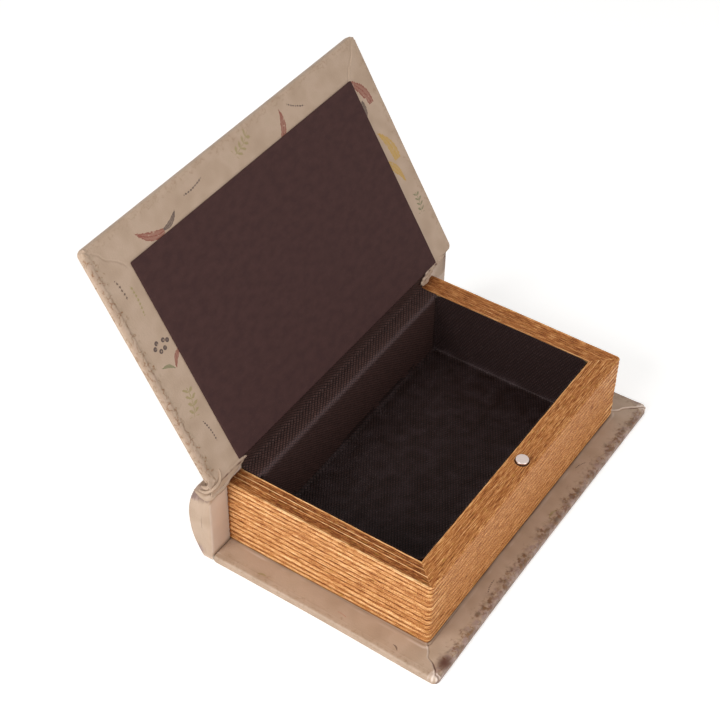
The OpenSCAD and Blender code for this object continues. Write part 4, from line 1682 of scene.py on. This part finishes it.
@dataclass
class JointEar:
    """The covering between the lid and the spine beyond one end of the tray.

    Each row of edge says how low and how high the cloth reaches at a place along the
    joint, and how far its lower edge is tucked in.
    """

    name: str
    edge: list[tuple[float, float, float, float]]
    seed: float
    crumple: float
    rolls: tuple[Roll, ...] = ()
    open_side: Vector = Vector((0.4, -0.62, 0.68))
    lid_corner: tuple[float, float] = (-54.96, 51.88)
    lid_lean: float = 0.601
    tip: float = 0.0
    ease_top: float = 56.0
    lift: float = 0.3
    belly: float = 0.6
    cloth_t: float = 0.3
    step: float = 0.4
    rows: int = 34
    tuck_rows: int = 6
    sheet_h: float = 9.0
    sheet_at: float = 40.0
    folds_sheet_at: float = 200.0
    crease_z: float = 51.2
    curve_steps: int = 4
    least_sheet: float = 10.0

    def front(self, z: float, low: float) -> float:
        """The cloth's x at a height, in front of the lid's face or of the spine's."""
        x, corner = self.lid_corner
        if z > corner:
            ease = max(0.0, 1 - (z - corner) / 3.5)
            return x - self.lid_lean * (z - corner) + self.cloth_t * 0.3 + self.lift * ease
        share = (corner - z) / max(1.0, corner - low)
        return x + self.lift + self.belly * math.sin(math.pi * min(1.0, share) * 0.8)

    def place(self, y: float, share: float) -> Vector:
        """A point of the cloth, from its lower edge (0) to its upper one (1)."""
        low, high, tuck = between(self.edge, y)
        low += 0.5 * ripple(Vector((y, 0, 0)), 2.6, self.seed)
        if share < 0:
            turn = -share * math.pi / 2
            at = self.front(low, low)
            return Vector((at - tuck * (1 - math.cos(turn)), y, low - tuck * math.sin(turn)))
        z = low + (high - low) * share
        return Vector((self.front(z, low), y, z))

    def build(self, finishes: Finishes) -> list[bpy.types.Object]:
        """Makes the ear and its rolled folds, and returns them."""
        work = Workpiece()
        start, end = self.edge[0][0], self.edge[-1][0]
        count = round((end - start) / self.step)
        lines = [start + (end - start) * i / count for i in range(count + 1)]
        shares = [-1 + i / self.tuck_rows for i in range(self.tuck_rows)]
        shares += [i / self.rows for i in range(self.rows + 1)]
        work.grid(shares, lines, 0.0)
        lay = {}
        for v in work.bm.verts:
            share, y = v.co.x, v.co.y
            lay[v] = (share * self.sheet_h + self.sheet_at, y)
            v.co = self.place(y, share)
            tip = abs(y - self.tip) if self.tip else 99.0
            worn = bump(share * self.sheet_h, 0.5) * bump(tip, 9)
            v[work.wear] = 0.9 * worn + self.crumple * 0.3
            v[work.rim] = 0.25
        work.lay(lambda v, face: lay[v])
        work.bm.normal_update()
        for v in work.bm.verts:
            fold = abs(ripple(Vector((v.co.x, v.co.y * 0.8, v.co.z)), 2.2, self.seed + 2))
            ease = clamp((self.ease_top - v.co.z) / 3)
            v.co.x += self.crumple * (0.6 - 1.6 * fold) * ease
            # Painted shade in the crumpled folds and along the crease under the lid's edge.
            v[work.wear] -= self.crumple * 2.5 * max(0.0, fold - 0.15) * ease
            v[work.wear] -= 0.7 * bump(v.co.z - self.crease_z, 0.55) * (0.8 + ripple(v.co, 4, 6.0))
        work.face_to(Vector((1, 0, 0)), lambda f: f.calc_area())
        area = sum(f.calc_area() for f in work.bm.faces)
        work.thicken(self.cloth_t)
        made = [work.finish(self.name, finishes.covering, Slot.COVERING)]
        if self.rolls:
            made.append(self.folds(finishes))
        length = end - start
        if area / length > self.least_sheet:
            made[0]
            area / length * MM
            length * MM
            made[1:]
        return made

    def folds(self, finishes: Finishes) -> bpy.types.Object:
        """Rolls up the nested folds, with painted shade on their sides that turn away from the open
        side.
        """
        work = Workpiece()
        for roll in self.rolls:
            points = curve([Vector(p) for p in roll.path], self.curve_steps)
            stops = [(float(i), r) for i, r in enumerate(roll.radii)]
            radii = [between(stops, i / self.curve_steps)[0] for i in range(len(points))]
            work.pipe(points, radii)
        work.face_out()
        work.lay(lambda v, face: (v.co.x - v.co.z + self.folds_sheet_at, v.co.y))
        for v in work.bm.verts:
            v.co += v.normal * 0.2 * ripple(v.co, 2.2, self.seed)
            v[work.rim] = 0.2
            # Painted shade in the creases: darker where a roll's surface turns away from open_side.
            facing = v.normal.dot(self.open_side)
            deep = max(0.0, 0.62 - facing) * clamp(1.9 + 4 * facing, high=1.9)
            v[work.wear] = 0.3 * max(0.0, ripple(v.co, 2.5, self.seed + 1)) - min(0.9, deep)
        return work.finish(self.name + "_folds", finishes.covering, Slot.COVERING)


@dataclass
class JointCloth:
    """All the covering that bridges from the spine to the lid."""

    tail_y: float = SPINE_TAIL_Y
    head_y: float = SPINE_HEAD_Y
    back: tuple[tuple[float, float], ...] = (
        (-59.0, 50.2), (-57.6, 50.24), (-57.0, 50.28), (-56.78, 50.42),
        (-57.0, 50.55), (-57.9, 50.66), (-59.1, 50.78), (-59.5, 51.2),
    )
    back_bent_z: float = 50.76
    back_steps: int = 80
    back_sheet_at: float = -60.0
    cloth_t: float = 0.15

    def ears(self) -> list[JointEar]:
        """Both ends of the joint, as the photograph shows them."""
        inner = Roll(
            (
                (-61.8, -103.2, 47.9), (-60.3, -103.7, 48.2), (-58.3, -104.0, 48.8),
                (-56.3, -103.8, 49.7), (-54.3, -102.4, 51.5), (-54.0, -99.2, 51.7),
                (-54.5, -96.5, 52.5), (-55.9, -94.4, 54.4), (-57.8, -93.6, 56.5),
            ),
            (0.3, 0.7, 0.85, 0.9, 0.85, 0.85, 0.8, 0.6, 0.15),
        )
        outer = Roll(
            (
                (-65.0, -102.6, 45.0), (-62.5, -103.0, 44.9), (-59.5, -103.2, 44.8),
                (-56.8, -103.2, 45.1), (-55.3, -102.0, 46.1), (-55.1, -99.6, 46.4),
                (-54.9, -97.5, 46.2), (-54.7, -94.6, 46.2), (-54.7, -91.5, 46.8),
                (-54.6, -87.7, 48.2), (-54.5, -82.2, 49.7), (-54.5, -78.3, 51.0),
            ),
            (0.3, 1.1, 1.6, 1.9, 1.9, 1.8, 1.8, 1.6, 1.2, 0.8, 0.45, 0.15),
        )
        core = Roll(
            (
                (-61.0, -102.4, 49.6), (-58.6, -102.4, 50.2), (-56.8, -102.2, 50.8),
                (-55.9, -100.8, 52.0), (-56.4, -98.4, 53.8),
            ),
            (0.5, 1.2, 1.4, 1.1, 0.5),
        )
        tail = JointEar(
            name="joint_ear_tail",
            edge=[
                (-103.6, 46.4, 54.0, 1.4), (-101.0, 45.6, 55.5, 1.6), (-97.0, 45.0, 57.0, 1.7),
                (-91.0, 44.8, 57.0, 1.5), (-89.0, 46.6, 56.5, 0.6), (-84.0, 48.3, 55.0, 0.4),
                (-81.6, 49.4, 53.0, 0.3), (-76.6, 51.2, 51.8, 0.1),
            ],
            seed=3.0,
            crumple=0.1,
            tip=-77.0,
            rolls=(core, inner, outer),
        )
        head = JointEar(
            name="joint_ear_head",
            edge=[
                (75.6, 47.6, 48.8, 0.2), (78.5, 45.8, 51.0, 0.5), (82.0, 45.2, 52.8, 0.7),
                (85.5, 47.2, 53.4, 0.8), (88.0, 50.0, 53.8, 1.0), (92.0, 50.6, 54.0, 1.0),
                (96.0, 50.6, 53.2, 0.9), (99.5, 51.2, 52.2, 0.4),
            ],
            seed=11.0,
            crumple=0.8,
            belly=0.2,
        )
        return [tail, head]

    def build(self, finishes: Finishes) -> None:
        """Makes the strip behind the lid and the two ears, in their places in the joint."""
        work = Workpiece()
        pen = Pen(work, *self.back[0])
        for x, z in self.back[1:]:
            pen.to(x, z)
        length = self.head_y - self.tail_y - 0.8
        work.run(pen.edges, self.tail_y + 0.4, length, self.back_steps)
        work.settle()
        work.lay(lambda v, face: (v[work.across] + self.back_sheet_at, v.co.y))
        work.thicken(self.cloth_t)
        strip = work.finish("joint_cloth_back", finishes.covering, Slot.COVERING)
        self.back[1][0] * MM
        self.back[1][1] * MM
        self.back[1][0] * MM
        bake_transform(strip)
        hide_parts("joint_cloth")
        for ear in self.ears():
            for piece in ear.build(finishes):
                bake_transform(piece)


@dataclass(kw_only=True)
class LidLiner(RoundedSlab):
    """The dark panel pasted inside the lid, with faintly wavy edges."""

    low: tuple[float, float] = (-54.35, -81.3)
    high: tuple[float, float] = (53.1, 90.5)
    bottom: float = 0.0
    top: float = 0.85
    spine_r: float = 0.5
    fore_r: float = 0.5
    fold_r: float = 0.25
    rims_x: tuple[float, float] = (2.0, 2.0)
    rims_y: tuple[float, float] = (2.0, 2.0)
    fine: float = 0.5
    coarse: float = 3.0
    fold_steps: int = 2

    def build(self, finishes: Finishes, matrix: Matrix) -> bpy.types.Object:
        """Makes the panel and returns it."""
        work = Workpiece()
        self.shape(work)
        work.lay(lambda v, face: (v.co.x, v.co.y))
        for v in work.bm.verts:
            if v.co.z > self.top / 2:
                d = max(0.0, self.inside(v.co))
                v.co.z += 0.09 * ripple(v.co, 22, 8.0) - 0.1 * bump(d, 1.5)
        made = work.finish("lid_liner_panel", finishes.liner, Slot.LINER, matrix)
        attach(made, Body.LID.value)
        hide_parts("lid_liner")
        return made


@dataclass
class CatchMagnet:
    """The disc magnet of the catch, turned with a rounded rim, and a dark skirt round its foot that
    is a painted contact shadow.
    """

    at: tuple[float, float] = (50.0, 0.0)
    top: float = 44.95
    seat: float = 43.4
    diameter: float = 6.5
    thickness: float = 3.05
    rim_r: float = 0.28

    def build(self, finishes: Finishes) -> bpy.types.Object:
        """Turns the disc and returns it."""
        work = Workpiece()
        r, rim = self.diameter / 2, self.rim_r
        pen = Pen(work, 0, self.top - self.thickness)
        # The skirt at the foot and the lower side carry the crest layer: painted contact shadow.
        pen.to(r, self.top - self.thickness).to(r, self.seat, 1.0)
        pen.to(r + 0.5, self.seat, 1.0).to(r + 0.35, self.seat + 0.3, 1.0)
        pen.to(r, self.seat + 0.4, 1.0).to(r, self.seat + 0.65, 0.5).to(r, self.seat + 0.8)
        pen.to(r, self.top - rim).arc(r - rim, self.top - rim, 90, 5)
        pen.to(r * 0.5, self.top - 0.015).to(0, self.top - 0.02)
        work.turn(pen.edges, Vector((0, 0, 0)), 2 * math.pi, 48)
        work.settle()
        made = work.finish(
            "catch_magnet", finishes.nickel, Slot.NICKEL, Matrix.Translation((*self.at, 0))
        )
        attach(made, Body.BOX.value)
        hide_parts("magnet")
        return made


# ---------------------------------------------------------------------------
# The whole box and its studio
# ---------------------------------------------------------------------------


@dataclass
class BookBox:
    """Puts the sub-assemblies together on their bodies."""

    finishes: Finishes = field(default_factory=Finishes)
    lid_print: tuple[Printed, ...] = (
        Printed(Motif.BEADS, (444, -115), 4, Ink.BROWN, 0.9),
        Printed(Motif.BEADS, (438, -120), -3, Ink.STRAW, 0.9),
        Printed(Motif.BERRIES, (414, -119), 0, Ink.DARK),
        Printed(Motif.LEAF, (404, -117), 60, Ink.OLIVE, 0.5),
        Printed(Motif.LEAF, (405, -124), 130, Ink.RUST, 0.7),
        Printed(Motif.SPRIG, (384, -119), -16, Ink.STRAW, 0.75),
        Printed(Motif.BEADS, (367, -120), 8, Ink.DARK, 0.7),
        Printed(Motif.LEAF, (490, -62), 70, Ink.RUST, 1.3),
        Printed(Motif.LEAF, (490, -51), 108, Ink.DARK, 0.8),
        Printed(Motif.BEADS, (484, -30), 96, Ink.DARK, 0.8),
        Printed(Motif.SPRIG, (483, 8), 112, Ink.STRAW, 0.75),
        Printed(Motif.LEAF, (489, 36), 150, Ink.RUST, 1.1),
        Printed(Motif.BEADS, (485, 50), 60, Ink.DARK, 0.7),
        Printed(Motif.LEAF, (444, 123), 24, Ink.RUST, 1.6),
        Printed(Motif.LEAF, (436, 127), -20, Ink.DARK, 0.9),
        Printed(Motif.LEAF, (410, 121), 8, Ink.OCHRE, 1.7),
        Printed(Motif.LEAF, (402, 126), 35, Ink.OCHRE, 1.3),
        Printed(Motif.SPRIG, (378, 119), -10, Ink.OLIVE, 0.6),
    )
    back_print: tuple[Printed, ...] = (
        Printed(Motif.LEAF, (-30, -112), -12, Ink.STRAW, 0.3),
        Printed(Motif.BEADS, (14, -114), 6, Ink.ROSE, 0.3),
        Printed(Motif.LEAF, (44, -113), 30, Ink.BROWN, 0.25),
        Printed(Motif.BEADS, (80, -44), 80, Ink.BROWN, 0.5),
        Printed(Motif.LEAF, (78, 12), 100, Ink.STRAW, 0.4),
        Printed(Motif.BEADS, (82, 48), 110, Ink.DARK, 0.4),
        Printed(Motif.LEAF, (20, 119), 0, Ink.ROSE, 0.7),
    )

    def hidden_boards(self) -> None:
        """Gives the boards and the steel disc inside the covering their own finishes."""
        looks = {
            "grey_board": ("back_board", "lid_board", "floor_card"),
            "fibreboard": (
                "spine_block", "tail_wall", "head_wall", "fore_edge_wall", "spine_side_wall",
            ),
            "steel": ("keeper_disc",),
            "covering": ("joint_cloth",),
        }
        for look, nodes in looks.items():
            for name in nodes:
                slots = frame["nodes"][name].data.materials
                slots.clear()
                slots.append(getattr(self.finishes, look))
                log.info("%s: %s", name, look)

    def covers(self) -> None:
        """Makes the back cover, the lid and the spine."""
        back = WrappedCover(
            low=(SPINE_X, SPINE_TAIL_Y), high=(68.8, 105.0), bottom=0.0, top=BOARD_T,
            rims_x=(4.0, 17.0), rims_y=(17.0, 17.0), soil=(0.45, 0.8, 1.0), lump=0.7,
            frayed=(0.35, 0.35, 0.9), foot=(55.8, 89.7), gap=1.1,
            splay=Vector((0.9, -1.3, 0)), printed=self.back_print,
        )
        made = back.build(self.finishes, "back_cover_wrap")
        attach(made, Body.BOX.value)
        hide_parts("back_covering")
        lid = WrappedCover(
            low=(-54.85, -101.55), high=(70.8, 106.85), bottom=0.0, top=BOARD_T,
            rims_x=(5.0, 21.0), rims_y=(24.0, 21.0), seed=5.0, spine_r=3.0,
            lap=0.12, gap=0.15, rumpled=0.25, frayed=(1.0, 0.35, 0.3), soil=(0.3, 0.5, 0.45),
            sheet_at=400.0, printed=self.lid_print,
        )
        turned = OPENED @ Matrix.Translation(UP * LID_CLOSED_Z) @ FACE_DOWN
        made = lid.build(self.finishes, "lid_wrap", turned)
        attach(made, Body.LID.value)
        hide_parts("lid_covering")
        RoundSpine().build(self.finishes)

    def page_edges(self) -> None:
        """Makes the three facings, mitred at the fore edge."""
        corner = PAGES_CORNER_R
        run, side = PAGES_W - corner, PAGES_L - 2 * corner
        tail = PageFacing(
            name="tail_page_edge", length=run, flange=11.4, cut_end=99.7, cut_start=None,
            place=Matrix.Translation((SPINE_X, -PAGES_L / 2, 0)),
        )
        tail.build(self.finishes, "tail_facing")
        fore = PageFacing(
            name="fore_page_edge", length=side, flange=12.7, cut_end=165.8, cut_start=8.8,
            place=Matrix.Translation((PAGES_W / 2, corner - PAGES_L / 2, 0))
            @ Matrix.Rotation(math.pi / 2, 4, "Z"),
            start_at=run + math.pi / 2 * corner, valley=0.16, edge_tone=0.58,
            side_share=0.32, top_share=0.3, plain=0.47, foot=1.0,
        )
        fore.build(self.finishes, "fore_edge_facing")
        head = PageFacing(
            name="head_page_edge", length=run, flange=11.6, cut_end=99.7, cut_start=None,
            place=Matrix.Translation((SPINE_X, PAGES_L / 2, 0))
            @ Matrix.Scale(-1, 4, Vector((0, 1, 0))),
            start_at=400.0, valley=0.2, edge_tone=0.7, top_share=0.25, plain=0.35,
        )
        head.build(self.finishes, "head_facing")

    def inside(self) -> None:
        """Makes the linings, the liner and the magnet."""
        TrayLining().build(self.finishes)
        ClothHinge().lining(self.finishes)
        JointCloth().build(self.finishes)
        closed = Matrix.Translation(UP * LINER_CLOSED_Z) @ FACE_DOWN
        LidLiner().build(self.finishes, OPENED @ closed)
        CatchMagnet().build(self.finishes)


@dataclass
class Studio:
    """A pale floor, soft lamps and the photograph's camera."""

    camera_at: tuple[float, float, float] = (278.9, -493.5, 616.6)
    azimuth: float = 33.047
    elevation: float = 43.419
    roll: float = 1.083
    lens: float = 83.285

    def camera(self) -> None:
        """Stands the camera where the photograph was taken."""
        az, el, roll = (math.radians(x) for x in (self.azimuth, self.elevation, self.roll))
        back = Vector((math.sin(az) * math.cos(el), -math.cos(az) * math.cos(el), math.sin(el)))
        right = Vector((math.cos(az), math.sin(az), 0))
        up = back.cross(right)
        right, up = (
            right * math.cos(roll) + up * math.sin(roll),
            up * math.cos(roll) - right * math.sin(roll),
        )
        data = bpy.data.cameras.new("camera")
        data.lens, data.sensor_width = self.lens, 36.0
        data.clip_start, data.clip_end = 0.01, 10.0
        turned = Matrix((right, up, back)).transposed().to_4x4()
        made = self.stand("camera", data, Matrix.Translation(Vector(self.camera_at) * MM) @ turned)
        bpy.context.scene.camera = made

    def stand(self, name: str, data: bpy.types.ID, place: Matrix) -> bpy.types.Object:
        """Stands a camera, a lamp or a mesh in the studio."""
        made = bpy.data.objects.new(name, data)
        made.matrix_world = place
        bpy.context.scene.collection.objects.link(made)
        return made

    def lamp(self, name: str, at: Vector, aim: Vector, size: float, watts: float) -> None:
        """Hangs a square soft lamp that faces a point."""
        data = bpy.data.lights.new(name, "AREA")
        data.shape, data.size, data.energy = "SQUARE", size, watts
        turned = (aim - at).to_track_quat("-Z", "Y").to_matrix().to_4x4()
        self.stand(name, data, Matrix.Translation(at) @ turned)

    def floor(self) -> None:
        """Lays the pale floor, which the camera sees as white but for the shadow."""
        bm = bmesh.new()
        bmesh.ops.create_grid(bm, x_segments=4, y_segments=4, size=6.0)
        mesh = bpy.data.meshes.new("floor")
        bm.to_mesh(mesh)
        bm.free()
        look = bpy.data.materials.new("floor_paper")
        look.use_nodes = True
        tree = look.node_tree
        tree.nodes.clear()
        paper = add(tree, "ShaderNodeBsdfDiffuse", {0: linear("#F4F3F1")})
        glow = add(tree, "ShaderNodeEmission", {0: (1, 1, 1, 1), 1: 0.42})
        lit = add(tree, "ShaderNodeAddShader", {0: paper, 1: glow})
        either = add(tree, "ShaderNodeMixShader", {0: self.seen(tree), 1: paper, 2: lit})
        add(tree, "ShaderNodeOutputMaterial", {0: either})
        mesh.materials.append(look)
        self.stand("floor", mesh, Matrix.Identity(4))

    def seen(self, tree: bpy.types.NodeTree) -> Value:
        """1 for what the camera, a mirror or glass sees, and 0 for what only lights."""
        rays = add(tree, "ShaderNodeLightPath")
        direct = work_out("MAXIMUM", rays["Is Camera Ray"], rays["Is Glossy Ray"])
        return work_out("MAXIMUM", direct, rays["Is Transmission Ray"])

    def world(self) -> None:
        """Makes the world's even light, with a white background."""
        made = bpy.data.worlds.new("studio")
        bpy.context.scene.world = made
        made.use_nodes = True
        tree = made.node_tree
        tree.nodes.clear()
        levels = {"Value": self.seen(tree), "To Min": 0.3, "To Max": 1.0}
        strength = add(tree, "ShaderNodeMapRange", levels)
        sky = add(tree, "ShaderNodeBackground", {0: (1, 1, 1, 1), 1: strength})
        add(tree, "ShaderNodeOutputWorld", {0: sky})

    def build(self) -> None:
        """Sets up the whole studio."""
        bpy.context.scene.view_settings.view_transform = "Standard"
        self.camera()
        self.floor()
        self.world()
        aim = Vector((0, 0, 0.04))
        self.lamp("key", Vector((-0.25, -0.95, 0.55)), aim, 0.7, 10.5)
        self.lamp("fill", Vector((0.95, -0.15, 0.5)), aim, 0.8, 6.0)
        self.lamp("top", Vector((-0.1, 0.25, 1.2)), aim, 0.9, 1.6)


def main() -> None:
    """Builds the box and the studio."""
    logging.basicConfig(level=logging.INFO, format="%(name)s %(message)s")
    box = BookBox()
    box.hidden_boards()
    box.covers()
    box.page_edges()
    box.inside()
    Studio().build()


if __name__ == "__main__":
    main()
